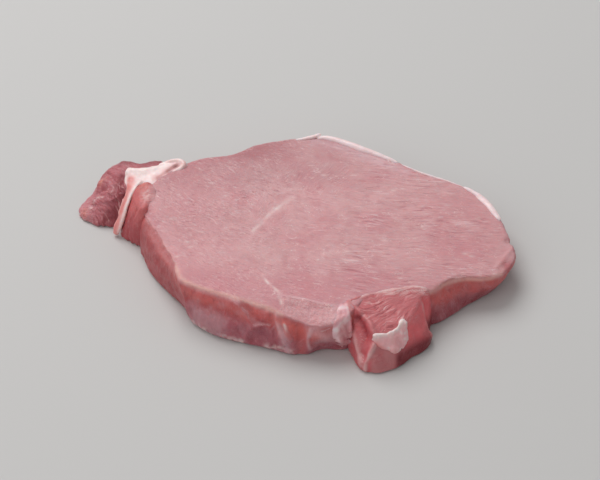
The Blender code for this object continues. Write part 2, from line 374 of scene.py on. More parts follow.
eyeLook = {
    "thickEnd": 15.0, "thinEnd": 10.2, "taperFrom": -5.0, "taperTo": 72.0, "taperPower": 2.1, "backRise": 0.5,
    "shoulderDrop": 2.6,  # how far the face falls at the front, where the grainy muscle is
    "voxel": 0.40,
    "broadSwell": 0.26, "smallSwell": 0.12,  # heights of the soft swells of the cut face
    "fibreRelief": 0.10, "grainRelief": 0.15,
    "wallRelief": 0.34, "footRagged": 0.8, "filmRelief": 0.5,
    "pale": linear(221, 170, 172),
    "rosy": linear(210, 140, 147),
    "deep": linear(190, 114, 120),
    "glow": linear(232, 116, 108),
    "wall": linear(188, 88, 94),
    # painted shade over the back-left of the cut face
    "backShade": linear(176, 126, 130),
    "bright": linear(226, 168, 170),
    "wallLow": linear(176, 98, 110),
    "wallLeft": linear(170, 70, 73),
    # painted shade beside the ledge on the front wall
    "shadePurple": linear(150, 74, 88),
    "film": linear(228, 196, 202),
    # painted highlight along the front and right rims
    "rimHighlight": linear(242, 192, 180),
    "fat": linear(244, 222, 218),
    # a dark red: the red strip's own colour, and painted shade in the groove beside the tongue, along the
    # recessed foot and low on the right-hand wall
    "darkRedAndShade": linear(150, 46, 50),
}

# stations of an outline: across, back, and how far the foot stands out from the rim
eyeOutline = [
    (-48.8, 9.8, 0.6), (-44.6, 1.3, 2.7), (-40.8, -6.8, 2.5), (-36.2, -17.2, -0.4), (-34.2, -22.4, -2),
    (-30.4, -25.2, 1.1), (-23.5, -28.4, 3.5), (-15.4, -31.6, 3.7), (-6.5, -35.4, 2.6), (3, -39.2, 1.8),
    (11, -40.2, -1.6), (17.2, -37.8, 1), (25, -29.2, 0), (34, -26.4, 0), (43, -25.2, 2.8),
    (49, -20.6, 3.6), (54, -18.2, 2.2), (61, -18, -2.4), (67.3, -15, -4), (72.2, -6.4, -4.2),
    (71, 2.4, -2.4), (69, 11, -1), (64, 21.2, -0.8), (56, 27.4, -0.8), (43.6, 32.2, -0.6),
    (32.6, 39.4, -0.6), (20.4, 46, -0.6), (9.5, 49, -0.6), (-3, 47, -0.4), (-12, 44.2, 0),
    (-20.4, 39, 0.4), (-30, 37.4, 0.6), (-38, 32.6, 0), (-45.5, 25, 0), (-47.6, 18, 1),
]

def eyeTop(x, y):
    along = clamp((x - eyeLook["taperFrom"]) / (eyeLook["taperTo"] - eyeLook["taperFrom"]))
    height = eyeLook["thickEnd"] - (eyeLook["thickEnd"] - eyeLook["thinEnd"]) * along ** eyeLook["taperPower"]
    height = height + eyeLook["backRise"] * clamp((y - 22.0) / 22.0)
    shoulder = clamp(1.0 - abs(x - 6.5) / 17.0) * clamp((-32.5 - y) / 7.0)
    return height - eyeLook["shoulderDrop"] * shoulder


eyeStrokes = [  # width, height (negative presses in), line
    (2.2, -1.6, [(-47.4, 11.4, 15), (-48.6, 10.6, 10), (-50.2, 10.8, 3)]),
    (0.9, 0.45, [(-34.6, -22, 14.6), (-33.2, -23.2, 12), (-32.3, -25.3, 7), (-30.8, -27, 2)]),
    (1.7, -0.9, [(-31.6, -26.2, 10), (-26.5, -29.2, 9.6), (-20.5, -31.4, 9.2), (-17, -32.4, 8.6)]),
    (2.2, 0.6, [(-28, -30.6, 5.2), (-21, -32.8, 4.6)]),
    (0.9, 0.7, [(-17.2, -30.6, 13.8), (-15, -32.6, 12.4), (-13.2, -34.4, 10.4), (-11.6, -36, 7.6)]),
    (1.4, -0.8, [(-13.8, -32.6, 13), (-11.2, -34.6, 10.6), (-8.8, -36, 9.8), (-6.4, -37, 10.2)]),
    (0.8, 0.5, [(-14.5, -35.7, 2.6), (-12.2, -36, 6.4), (-8.5, -36.8, 8.6), (-6, -37.5, 8.8)]),
    (1.3, -0.6, [(-11.6, -36.8, 4.4), (-8, -38, 4.6)]),
    (1, -0.7, [(-5.2, -36.2, 12.6), (-5, -37.8, 8.5), (-4.6, -39, 2)]),
    (0.7, 0.5, [(-4.2, -36.4, 13), (-3.4, -38, 10), (-2.2, -39.4, 6.6), (-0.4, -40.2, 4)]),
    (1.3, -0.9, [(2.6, -39.4, 11.2), (3, -40.6, 7), (3.2, -41, 1.5)]),
    (0.7, 0.6, [(6.4, -40.2, 10.6), (5.4, -41.2, 7.6), (5.9, -41.4, 4.4), (7, -41, 1.6)]),
    (0.6, 0.5, [(-1.7, -38.4, 11.2), (-0.8, -39.2, 9.2), (0.2, -40, 6.6)]),
    (0.8, -0.7, [(-0.2, -39.6, 5), (-1.6, -39.4, 2)]),
    (1.8, 0.9, [(8.6, -40.6, 9.4), (11.6, -40.6, 7.6)]),
    (1.2, -0.9, [(8.4, -41.2, 4.6), (13, -40.6, 3.4), (17, -40.4, 2.4)]),
    (1.7, -1.2, [(9, -40.6, 0.8), (13, -40, 1), (18, -40, 1)]),
    (3.2, -1.3, [(-48.6, 8.6, 15), (-45.6, 2, 15), (-42.2, -5.6, 15), (-38.4, -14, 15)]),
    (0.9, -0.4, [(-24, -30.4, 7), (-16, -33.6, 5.6), (-15, -35.4, 2)]),
    (1.5, -0.4, [(-34, -24.4, 15), (-23.5, -28.4, 15), (-15.4, -31.6, 15), (-6.5, -35.4, 14.6)]),
    (0.6, 0.3, [(-7.2, -32.2, 14.9), (-3.3, -35.9, 13.8), (0.1, -37.4, 13.2), (3.4, -38.5, 12.5),
                (6.2, -39.5, 11.8)]),
    (0.5, 0.25, [(-2.1, -29.6, 15), (2.5, -30.4, 15), (7.7, -32, 14.7), (12.3, -33.1, 14.5),
                 (16.9, -33.3, 13.9)]),
    (2.6, -0.45, [(2, -33.8, 14.4), (11, -35.6, 13.6)]),
    (1.6, -0.7, [(68, -10.6, 9.6), (69.2, -9.6, 6)]),
    (0.7, 0.4, [(65, -12.8, 11), (67.3, -9.2, 10.3), (69.5, -5.5, 10.4), (70.9, -3, 10)]),
    (1.3, -0.9, [(70.2, 0.9, 10.2), (72, 0.6, 6)]),
    (1, -0.6, [(67, 14.4, 10.6), (68.6, 14.8, 6)]),
    (0.6, 0.35, [(64.8, -15.2, 10.6), (66.5, -14.4, 7)]),
    (1.6, -0.5, [(48, -21.8, 9.4), (55, -18.8, 8.8), (62, -17.8, 8)]),
    (1.2, -0.6, [(44, -26, 10.8), (44.6, -27.4, 6), (45.4, -28.4, 2)]),
]
grainMuscle = [
    (-2.1, -30, 15), (3.1, -30.9, 15), (9.2, -32.4, 14.7), (14.7, -33.3, 14.3), (16.9, -33.3, 13.9),
    (15.3, -37.6, 13.4), (13.7, -39.4, 12.2), (9.2, -39.9, 11.8), (4.9, -39.4, 12.2), (0.1, -37.4, 13.2),
    (-3, -35.6, 14),
]
footFilms = [  # torn film along the foot of the front wall
    [(-29.8, -27.4, 1.8), (-27.4, -29.2, 1.4), (-24.8, -30.8, 1)],
    [(-20.4, -33.2, 1.2), (-17.6, -34.6, 1), (-15, -35.6, 0.9)],
    [(-7, -38.6, 1.4), (-3.6, -39.6, 2), (0.4, -40.8, 1.4)],
]
rightRim = [
    (43.4, -24.8, 11.9), (49, -20.4, 11.5), (54, -18.2, 11.1), (61, -17.8, 10.7), (66.4, -15, 10.4),
]
eyeRim = [
    (-48.2, 9, 14.4), (-43.9, 1.3, 14.6), (-40, -6.8, 14.6), (-35.4, -17.2, 14.6), (-33.5, -21.8, 14.6),
    (-30, -24.4, 14.7), (-23.2, -27.6, 14.8), (-15.2, -30.8, 14.8), (-6.3, -34.5, 14.3),
    (-2.5, -36.6, 13.8),
]
whiteStreak = [(-11.8, 0.6, 15), (-9.1, 4.7, 15), (-6.6, 8.6, 15), (-3.4, 12.5, 15), (0.6, 16.8, 15)]
shortVein = [(-8.7, -20.2, 15), (-6.8, -23.9, 15), (-4.9, -26.1, 15), (-3, -28.6, 15)]
cornerVein = [(-3.6, -27.4, 15), (-3.2, -29.4, 15), (-2.6, -32.6, 14.6)]
grainEdge = [
    (-2.1, -29.6, 15), (2.5, -30.4, 15), (7.7, -32, 14.7), (12.3, -33.1, 14.5), (16.9, -33.3, 13.9),
]
shoulderLine = [(-47.8, 5.6, 13.4), (-44.6, 0, 13.2), (-41.2, -7, 13), (-36.8, -16.4, 13)]
seamEdge = [(17.6, -31.8, 14.4), (15, -35.4, 13.8), (13.6, -38.6, 12.6), (14.4, -40.4, 7)]
backEdge = [(8, 45.4, 15.2), (18, 42, 14.9), (28, 37, 14.5), (38, 31.6, 13.6)]
grooveLine = [(-47.6, 10.6, 14.2), (-49.2, 10.6, 9), (-50.4, 11, 2)]
bulgeLine = [(7, -40.6, 10.6), (11.5, -40.8, 8.6), (9, -41.2, 5)]
redStrip = [(2.4, -39.4, 11.2), (3.2, -40.8, 7), (3.4, -41.4, 1)]
flecks = [
    (-32.7, -4.8), (-28.2, -0.2), (-31.4, -7.1), (-35.5, -11.4), (49.7, 27.3), (21.1, 28.6), (11.1, 28.2),
    (-12.8, 13.5), (-15.4, -0.7), (34, 21.6), (37, 22.6), (61, 10.4), (-21, 17.5), (-34, 14), (-40.6, 12),
    (-38, 6), (-26, 24), (55.6, -7.2), (57.4, -8.2), (30, -3), (18, -9),
]
wallMarks = [  # on the front wall: colour, strength, width, line
    ("film", 0.6, 1.3, [(-4.2, -36.4, 13.0), (-3.4, -38.0, 10.0), (-1.6, -39.6, 6.0), (-0.8, -40.6, 1.0)]),
    ("glow", 0.7, 1.2, [(-4.8, -36.6, 12.6), (-1.0, -38.6, 11.6), (2.6, -39.6, 10.6)]),
    ("film", 0.42, 1.9, bulgeLine),
    ("darkRedAndShade", 0.45, 1.35, redStrip),
    ("glow", 0.5, 1.35, redStrip),
]
frontMarks = [  # over the wall and its rim
    ("fat", 0.8, 0.45, [(-1.7, -38.4, 11.2), (-0.8, -39.2, 9.2), (0.2, -40.0, 6.6)]),
    # painted shade along the recessed foot below the bulge
    ("darkRedAndShade", 0.6, 1.6, [(8.6, -41.0, 2.6), (13.0, -40.6, 2.6), (18.0, -40.4, 2.4)]),
    ("film", 0.8, 0.55, [(6.4, -40.2, 10.6), (5.4, -41.4, 7.6), (5.9, -41.6, 4.4), (7.0, -41.2, 1.6)]),
]


def fibreRun(points):
    # along and across the fibres, which fall to the right on the left half and rise beyond the middle
    x, y, z = points.T
    bend = np.where(x < 38.0, -0.42 * x + 0.0042 * (x + 12.0) ** 2, -5.46)
    sway = 1.5 * noiseAt(points, 12.0, 4.0) + 0.5 * noiseAt(points, 4.0, 9.0)
    return np.column_stack([x, y - bend + sway, z])


def risingRun(points):
    # the long fibres behind the middle, which rise steeply to the right
    turn = math.radians(46)
    along = points[:, 0] * math.cos(turn) + points[:, 1] * math.sin(turn)
    across = -points[:, 0] * math.sin(turn) + points[:, 1] * math.cos(turn)
    return np.column_stack([along, across + 0.8 * noiseAt(points, 8.0, 2.0), points[:, 2]])


def risingShare(points):
    # where the fibres rise: a broad patch behind the middle and a small one by the white streak
    both = nearSpot(points, (8, 28, 15), (15, 10, 9)) + 0.8 * nearSpot(points, (-6, 9, 15), (8, 8, 9))
    return softStep(clamp(both), 0.3, 0.7)


def strands(run, seed=0.0):
    # relief of fibre bundles: long ridges with narrow valleys between
    wide = noiseAt(run, 0.9, seed, (0.16, 1, 0.6))
    fine = noiseAt(run, 0.5, seed + 5.0, (0.30, 1, 0.6))
    return 0.7 * (1 - 2 * abs(wide)) + 0.3 * fine


def footFilm(points):
    return sum(nearLine(points, line, 1.15) for line in footFilms)


def makeEye():
    block = {"outline": eyeOutline, "steps": 8, "top": eyeTop, "middle": (8.0, 5.0), "rounding": 1.2,
             "lift": 0.5, "swell": 0.7}
    eye = newPiece("loinEye", blockMesh(block))
    oneSkin(eye, eyeLook["voxel"])
    soften(eye, 3)
    pressStrokes(eye, eyeStrokes)
    points, normals = readSkin(eye)
    isTop = softStep(normals[:, 2], 0.55, 0.9) * softStep(points[:, 2], 4.0, 8.0)
    isWall = (1 - softStep(abs(normals[:, 2]), 0.5, 0.85)) * softStep(points[:, 2], 0.2, 2.0)
    swell = noiseAt(points, 14.0) * eyeLook["broadSwell"] + noiseAt(points, 5.0, 3.1) * eyeLook["smallSwell"]
    rising = risingShare(points)
    fibre = strands(fibreRun(points)) * (1 - rising) + strands(risingRun(points), 3.0) * rising
    rough = noiseAt(points, 3.6, 5.2) * 0.9 + noiseAt(points, 1.4, 8.8, (1, 1, 0.5)) * 0.5
    inGrain = insidePatch(points, grainMuscle, (0, -0.67, 0.74), 0.5)
    move = isTop * (swell + fibre * eyeLook["fibreRelief"]) + isWall * rough * eyeLook["wallRelief"]
    move += inGrain * isTop * noiseAt(points, 0.9, 4.4) * eyeLook["grainRelief"]
    move += footFilm(points) * isWall * (0.25 + eyeLook["filmRelief"] * noiseAt(points, 1.2, 2.4))
    ragged = noiseAt(points, 1.6, 6.6, (1, 1, 0.3)) * (1 - softStep(points[:, 2], 0.8, 3.0))
    move += isWall * ragged * eyeLook["footRagged"]
    raiseSkin(eye, points, normals, move)
    return eye


def eyePlaces(eye):
    # where each point of the skin lies, and the masks that several layers share
    points, normals = drawnSkin(eye)
    x, y, z = points.T
    side = 1 - softStep(abs(normals[:, 2]), 0.55, 0.9)
    small = noiseAt(points, 3.0, 7.1)
    below = eyeTop(x, y) - z  # depth under the cut face
    streak = nearCurve(points, whiteStreak, 0.8) * (0.45 + 0.55 * softStep(small, -0.3, 0.2))
    streak += 0.5 * nearSpot(points, (-4.6, 11.2, 15), (3, 2, 3))
    vein = np.maximum(nearCurve(points, shortVein, 0.45) * (0.3 + 0.7 * softStep(small, -0.5, 0.2)),
                      nearLine(points, cornerVein, 0.45) * softStep(small, -0.6, 0.3))
    return SimpleNamespace(
        points=points, x=x, y=y, facing=normals[:, 2], up=softStep(normals[:, 2], 0.45, 0.85), side=side,
        small=small, below=below, streak=streak, vein=vein,
        lowWall=side * softStep(below + 1.6 * small, 5.0, 8.5),
        leftWall=side * softStep(-x, 30.0, 36.0) * (0.45 + 0.55 * softStep(below, 2.0, 6.0)),
        inGrain=insidePatch(points, grainMuscle, (0, -0.67, 0.74), 0.4))


def cutFaceLayers(at):
    x, y, up = at.x, at.y, at.up
    return [
        ("rosy", up * softStep(noiseAt(at.points, 11.0, 2.2), -0.2, 0.7) * 0.6),
        ("deep", up * softStep(at.small, 0.1, 0.6) * 0.25),
        ("rosy", up * nearSpot(at.points, (54.0, -4.0, 12.5), (12, 9, 9)) * 0.8),
        ("rosy", up * softStep(-y, 12.0, 26.0) * 0.7),
        ("deep", up * softStep(y, 30.0, 40.0) * softStep(-x, -6.0, 12.0) * 0.75),
        ("film", up * nearLine(at.points, backEdge, 2.2) * 0.6),
        # painted shade over the back-left of the cut face
        ("backShade", up * softStep(y, 16.0, 30.0) * softStep(-x, -34.0, -8.0) * 0.35),
        ("rosy", up * softStep(-x, 8.0, 32.0) * 0.35),
        ("bright", up * softStep(x, 20.0, 42.0) * 0.3),
    ]


def wallLayers(at):
    x, y, side, low = at.x, at.y, at.side, at.lowWall
    glow = side * np.exp(-(((at.below - 3.0) / 3.0) ** 2)) * (0.85 + 0.3 * noiseAt(at.points, 7.0, 5.5))
    return [
        ("wall", side),
        ("wallLow", low * 0.8),
        ("glow", clamp(glow) * 0.7),
        ("film", side * softStep(at.small, 0.0, 0.8) * 0.12),
        ("film", low * softStep(-x, 18.0, 22.0) * softStep(x, -33.0, -29.0) * 0.3),
        # painted shade low on the right-hand wall
        ("darkRedAndShade", low * softStep(x, 40.0, 46.0) * 0.4),
        ("wallLeft", at.leftWall * 0.9),
        ("deep", side * softStep(y, 20.0, 30.0) * 0.5),
        # painted shade beside the ledge on the front wall
        ("shadePurple", side * nearSpot(at.points, (-9.0, -36.6, 7.4), (2.8, 3.0, 2.8)) * 0.7),
    ]


def rimLayers(at):
    # painted highlight: the rolled edge of the cut face is tinted towards the film colour, and a peach band
    # is painted along the front and right rims
    rolledHighlight = softStep(at.facing, 0.15, 0.95)
    rolledHighlight = 4 * rolledHighlight * (1 - rolledHighlight) * softStep(-at.below, -2.2, -0.7)
    torn = softStep(noiseAt(at.points, 1.3, 9.0), -0.35, 0.3)
    return [
        ("film", rolledHighlight * 0.3),
        ("rimHighlight", nearCurve(at.points, eyeRim, 0.75) * 0.75),
        ("rimHighlight", nearCurve(at.points, rightRim, 0.8) * 0.65),
        ("film", nearLine(at.points, grainEdge, 0.45) * 0.6),
        ("pale", nearLine(at.points, shoulderLine, 1.5) * 0.45),
        ("fat", footFilm(at.points) * torn * 0.85),
    ]


def frontLayers(at):
    layers = [("bright", at.inGrain * 0.5)]
    for marks, where in ((wallMarks, at.side), (frontMarks, 1.0)):
        layers += [(name, nearLine(at.points, line, width) * strength * where)
                   for name, strength, width, line in marks]
    seam = nearLine(at.points, seamEdge, 1.7) * (0.4 + 0.5 * at.small)
    return layers + [("film", seam)]


def fatLayers(at):
    spots = sum(np.exp(-(((at.x - px) / 0.9) ** 2 + ((at.y - py) / 0.42) ** 2)) for px, py in flecks)
    return [("fat", at.streak * 0.6), ("fat", at.vein * 0.8), ("fat", spots * at.up * 0.55)]


def paintEye(eye):
    at = eyePlaces(eye)
    points, x, y = at.points, at.x, at.y
    # painted shade: dark red in the groove beside the tongue, and the wall colour in the dent on the right
    # end
    hollowShade = [("darkRedAndShade", nearLine(points, grooveLine, 1.2)),
               ("wall", nearSpot(points, (68.8, -11.2, 8.6), (2.2, 2.6, 2.8)))]
    paintColour(eye, eyeLook, "pale", cutFaceLayers(at) + wallLayers(at) + rimLayers(at) + frontLayers(at)
                + fatLayers(at) + hollowShade)
    curls = at.up * nearSpot(points, (-18, 27, 15), (16, 9, 9))
    bulge = at.side * nearLine(points, bulgeLine, 1.9)
    smoothFront = softStep(-x, -6.0, 20.0) * softStep(-y, -8.0, 10.0)
    paintGrain(eye, fibreRun(points), risingRun(points), rising=risingShare(points),
               fatness=clamp(at.streak * 0.4 + at.vein * 0.5 + bulge * 0.4),
               cutFace=at.up * (1 - 0.35 * smoothFront),
               wallness=at.side * (0.5 + 0.4 * softStep(at.below, 1.0, 4.0)) * (1 - 0.5 * at.leftWall),
               netting=np.maximum(at.inGrain, 0.6 * curls), shortGrain=1 - softStep(x, -8.0, 22.0))


flapLook = {
    "voxel": 0.27,
    "fibreRelief": 0.19, "swell": 0.25, "fineSwell": 0.07, "hollowRelief": 0.25,
    "hollowPush": (1.6, 3.1, -0.7),  # which way and how far the hollow is pushed in
    "red": linear(206, 118, 122),
    # painted shade in the hollow and under the curve of the right-hand foot
    "shadeRed": linear(112, 16, 32),
    "side": linear(240, 114, 120),
    "left": linear(206, 96, 102),
    # painted shade in the hollow
    "hollow": linear(196, 56, 62),
    "lowFront": linear(200, 128, 130),
    "film": linear(242, 212, 210),
}
flapOutline = [
    (17.2, -31.8, 0.6), (19.4, -35.6, 2.2), (22, -39.6, 3.6), (25.4, -42.4, 5.8), (30, -42, 5.2),
    (34.8, -39, 4), (38.4, -34.6, 5.2), (40.8, -29.4, 3), (43.2, -23.6, 0.8), (38, -22.9, 0),
    (30.6, -24.6, 0), (24, -27, 0), (19.6, -29.4, 0),
]
flapStrokes = [
    (0.8, 0.2, [(19.6, -31.4, 14.6), (28, -27, 14.3), (40, -24.6, 13.6)]),
    (0.8, 0.8, [(19, -32.6, 13.8), (21.8, -35.6, 13.4), (24.4, -39.4, 12.6), (25.6, -42.2, 11.2)]),
    (1, 0.6, [(16.6, -34.4, 13), (18.6, -38.4, 9), (20.4, -42.4, 5.6), (21.6, -46, 2.4)]),
    (0.7, 0.7, [(25.6, -44.2, 8.4), (24.2, -45.6, 6), (23, -46.8, 3.6), (22.8, -47.6, 1.2)]),
    (2.2, -0.7, [(27.6, -45.6, 6.2), (28.6, -46.6, 3.4)]),
    (2.4, 0.5, [(38.8, -35.4, 9), (40.4, -37, 5)]),
    (1.8, 0.8, [(42.6, -36.4, 3.4), (43.6, -34.4, 2.4)]),
    (1.1, -0.6, [(41.4, -28.2, 11.6), (42.6, -30.6, 8), (43.4, -32, 4)]),
    (0.8, 0.5, [(41.2, -30, 11.8), (42.4, -32.8, 8.2), (43.8, -34.8, 3.6)]),
]
hollowLine = [(21.5, -36.8, 11.5), (22.8, -38.4, 10.8), (23.6, -41.2, 8.4)]
hollowDeep = [(20.8, -35.6, 12), (22.4, -38, 11.2), (23.8, -40.4, 10.4)]
lowHollow = [(23.2, -42, 7.6), (22.6, -44.4, 4.6)]
flapFilms = [  # threads of film along its edges: strength, width, line
    (0.9, 0.9, [(17.6, -31.2, 14.8), (20.0, -30.0, 14.7), (24.0, -27.8, 14.5), (30.6, -25.4, 14.2),
                (38.0, -23.8, 13.7), (43.0, -24.0, 13.4)]),
    (0.3, 0.6, [(19.6, -33.0, 13.9), (21.8, -35.6, 13.4), (24.4, -39.4, 12.6), (25.6, -42.2, 11.4)]),
    (0.7, 0.7, [(25.6, -44.4, 8.4), (24.2, -46.0, 6.0), (23.0, -47.4, 3.6), (22.8, -48.0, 1.0)]),
    (0.45, 0.9, [(16.8, -34.4, 13.0), (18.6, -39.0, 9.0), (20.4, -42.8, 5.6), (21.6, -46.6, 2.0)]),
    (0.5, 0.7, [(41.2, -30.0, 11.8), (42.6, -33.0, 8.2), (44.2, -35.4, 3.4)]),
]


def flapTop(x, y):
    return 14.8 - 0.055 * (x - 17.0) - 0.165 * clamp(-28.0 - y, 0.0, 60.0)


def flapRun(points):
    # fibres fan out to the left from the flap's right-hand corner
    x, y = points[:, 0] - 50.0, points[:, 1] + 21.0
    sway = 0.05 * noiseAt(points, 4.0, 2.0) + 0.02 * noiseAt(points, 1.6, 6.0)
    return np.column_stack([np.hypot(x, y), (np.arctan2(-y, -x) + sway) * 24.0, points[:, 2]])


def makeFlap():
    block = {"outline": flapOutline, "steps": 10, "top": flapTop, "middle": (30.0, -33.0), "rounding": 1.2,
             "lift": 0.5, "swell": 0.8}
    flap = newPiece("cornerFlap", blockMesh(block))
    oneSkin(flap, flapLook["voxel"])
    soften(flap, 5)
    points, _ = readSkin(flap)
    press = nearLine(points, hollowLine, 1.45) + 0.35 * nearLine(points, lowHollow, 1.6)
    writeSkin(flap, points + np.array(flapLook["hollowPush"]) * press[:, None])
    pressStrokes(flap, flapStrokes)
    points, normals = readSkin(flap)
    fibred = softStep(normals[:, 2], 0.5, 0.9) * softStep(points[:, 1], -43.0, -37.0)
    move = fibred * strands(flapRun(points), 1.0) * flapLook["fibreRelief"]
    move += noiseAt(points, 4.0, 1.0) * flapLook["swell"] + noiseAt(points, 1.3, 4.0) * flapLook["fineSwell"]
    lines = noiseAt(points, 0.8, 2.0, (1, 1, 0.2)) * flapLook["hollowRelief"]
    raiseSkin(flap, points, normals, move + nearCurve(points, hollowLine, 2.2) * lines)
    return flap


def paintFlap(flap):
    points, normals = drawnSkin(flap)
    x, y, z = points.T
    up = softStep(normals[:, 2], 0.4, 0.85)
    wall = 1 - up
    hollow = nearCurve(points, hollowLine, 2.0)
    left = softStep(-x - 0.5 * (y + 35.0), -23.6, -21.6)
    lowFront = softStep(x, 24.0, 25.4) * (1 - softStep(x, 31.0, 33.0)) * (1 - softStep(z, 7.0, 9.0))
    under = softStep(x, 31.4, 33.4) * (1 - softStep(z, 3.0, 8.0))
    run = flapRun(points)
    threads = softStep(noiseAt(run, 0.8, 3.0, (0.3, 2, 1)), -0.3, 0.2)
    topFilm = nearLine(points, [(30.0, -27.0, 14.1), (42.0, -25.4, 13.4)], 1.8) * threads
    films = [("film", nearLine(points, line, width) * strength) for strength, width, line in flapFilms]
    paintColour(flap, flapLook, "red", [
        ("side", wall * softStep(x, 33.0, 36.0)),
        ("left", wall * left * 0.9),
        # painted shade in the hollow, darkest along its bottom
        ("hollow", hollow * 0.45),
        ("shadeRed", nearLine(points, hollowDeep, 1.2) * 0.6),
        ("lowFront", wall * lowFront),
        # painted shade under the curve of the right-hand foot
        ("shadeRed", wall * under * 0.92),
        ("film", topFilm * 0.85), *films,
        ("left", softStep(noiseAt(points, 2.6, 2.7), 0.1, 0.6) * 0.3),
    ])
    paintGrain(flap, run, fatness=nearLine(points, flapFilms[0][2], 0.9) * 0.5, cutFace=up,
               wallness=wall * 0.35 + hollow * 0.4)


padLook = {
    "voxel": 0.2, "backVoxel": 0.22, "ragged": 0.08,
    "flakeThick": 0.62, "flakeSwell": 0.34, "flakeFine": 0.11,
    "seamSwell": 0.2, "fineSwell": 0.08, "backSwell": 0.16, "backFine": 0.04,
    "flake": linear(250, 182, 186),
    "flakeRim": linear(255, 242, 238),
    "flakeLow": linear(226, 104, 92),
    "fat": linear(252, 226, 228),
    "fatPink": linear(250, 192, 200),
    "meat": eyeLook["rosy"],
    "flap": flapLook["left"],
}
flakeEdge = [
    (24.8, -42.8, 10.4), (25.6, -42, 10.9), (27.3, -42, 11.3), (29.1, -41.8, 11.3), (31, -41, 11.4),
    (32.7, -39.5, 11.8), (33.5, -37.6, 12.3), (34.1, -36.8, 12.5), (35, -36.9, 12.4), (35.6, -38, 11.9),
    (36, -39, 10.4), (36.3, -40.4, 8), (35.5, -42.2, 6.2), (33.9, -43.6, 5.4), (31.7, -45, 5.4),
    (29.5, -45.2, 6.8), (27.3, -44.8, 7.9), (25.6, -44, 9.2), (24.8, -43.6, 9.8),
]
flakeRim = [
    (25.4, -43, 11), (27.4, -42.6, 12), (30, -42, 12.1), (32.4, -40.4, 12.5), (33.8, -38.2, 12.9),
    (34.8, -37.2, 13),
]
flakeRight = [(35.4, -38, 12.2), (36.4, -40.4, 8.8), (35.5, -42.6, 6.6)]
flakeFoot = [(26, -44.4, 8.8), (27.6, -45.2, 7.4), (29.5, -45.6, 6.4), (31.7, -45.4, 5.2)]
seamPads = [  # outline, facing, height
    ([(12.8, -39.9, 11.2), (13.4, -38, 13.2), (14.2, -35.8, 14), (15.4, -33.2, 14.3), (18, -31.2, 14.2),
      (19.6, -33.4, 13.8), (19.2, -36, 12.8), (19.4, -38.8, 9.8), (19.6, -40.2, 7.2), (18.2, -40.4, 5),
      (16.2, -40.8, 4.4), (14, -40.8, 6.2), (12.8, -40.6, 8.6)], (0, -0.65, 0.76), 0.3),
    ([(14.4, -35.6, 14), (14.8, -33.6, 14.4), (16.2, -32, 14.5), (18.4, -31, 14.4), (19.2, -32.6, 13.9),
      (17.6, -34.9, 13.6), (15.9, -36.2, 13.8)], (0, -0.5, 0.85), 0.42),
    ([(13.2, -38.6, 12.9), (14.5, -37.5, 13.4), (15.4, -38.3, 12.4), (15.7, -39.4, 9.8),
      (14.9, -40.3, 8.4), (13.5, -40.3, 9.6)], (0, -0.75, 0.66), 0.5),
    ([(14.4, -40.4, 8), (16.3, -39.9, 7.4), (17.4, -39.9, 5.4), (16.4, -40.4, 4.8),
      (14.8, -40.6, 5.8)], (0, -0.85, 0.5), 0.45),
]
seamArms = [  # line of white fat over the pads, width, strength
    ([(18.5, -33.9, 14.2), (17.5, -37.1, 12.9), (15.5, -39.1, 12), (13.8, -40.6, 10.3)], 0.85, 1),
    ([(13.8, -40.6, 10.3), (14.5, -41.2, 7), (15.5, -41.4, 5)], 0.95, 1),
    ([(18.5, -33.9, 14.2), (16.6, -34.2, 14.2), (15, -34.8, 14.3)], 0.8, 0.9),
    ([(18.5, -33, 14.3), (20.6, -30.6, 14.5), (24, -28.3, 14.3)], 0.6, 0.6),
]
seamCords = [  # line, radius
    ([(14.2, -39.2, 12.4), (12.6, -39.9, 11.7), (9.8, -40.6, 10.8), (7, -40, 11.2)], 0.3),
    ([(18.2, -34, 13.3), (18.4, -36.2, 12.4), (18.5, -38.2, 10.6), (18.5, -39.2, 8.6)], 0.7),
    ([(16.4, -32.4, 14.2), (18.2, -31.2, 14.4), (20.6, -30.1, 14.5), (24, -28.2, 14.3)], 0.5),
    ([(17.4, -32.2, 14.1), (14.4, -32.8, 14.4), (10.6, -32.2, 14.6)], 0.42),
]
backCords = [  # a curl, the strip, its thin run and its thick end: line, radius
    ([(1.5, 46.6, 15.1), (4.4, 47, 15.3), (7.4, 47.6, 15.6), (9.4, 48.3, 16), (10.2, 48.9, 16.2)], 0.75),
    ([(9, 47.4, 15.2), (12.5, 47.4, 15.1), (18, 45.3, 14.8), (24.4, 41.9, 14.5), (30, 39.3, 14.1),
      (36, 36, 13.6)], 1.35),
    ([(36, 36.4, 13.4), (44, 31.8, 12.8), (51, 28.8, 12.3), (57.5, 26, 11.7)], 0.5),
    ([(57.5, 25.8, 11.7), (60.8, 23.2, 11.3), (63.6, 20.4, 10.9), (65.6, 17, 10.7), (67.2, 13.6, 10.5),
      (68.4, 10.6, 10.2)], 1.1),
    ([(61.4, 21.4, 11.2), (64.6, 17.4, 10.9), (66.4, 13.8, 10.7), (67.8, 11, 10.5)], 0.8),
]

def padPiece(name, mesh, voxel, rounds, swell, swellSize, fine, fineSize):
    piece = newPiece(name, mesh)
    oneSkin(piece, voxel)
    soften(piece, rounds)
    points, normals = readSkin(piece)
    move = noiseAt(points, swellSize, 3.0) * swell + noiseAt(points, fineSize, 5.0) * fine
    return piece, points, normals, move


def makeFlake(ground):
    mesh = bmesh.new()
    addPatch(mesh, ground, flakeEdge, (-0.05, -0.74, 0.67), padLook["flakeThick"], ragged=0.06, dome=0.45)
    flake, points, normals, move = padPiece(
        "cornerFlake", mesh, padLook["voxel"], 7, padLook["flakeSwell"], 1.8, padLook["flakeFine"], 0.8)
    rim = nearCurve(points, flakeRim, 0.8) * (0.3 + 0.25 * noiseAt(points, 1.8, 8.0))
    raiseSkin(flake, points, normals, move + rim)
    return flake


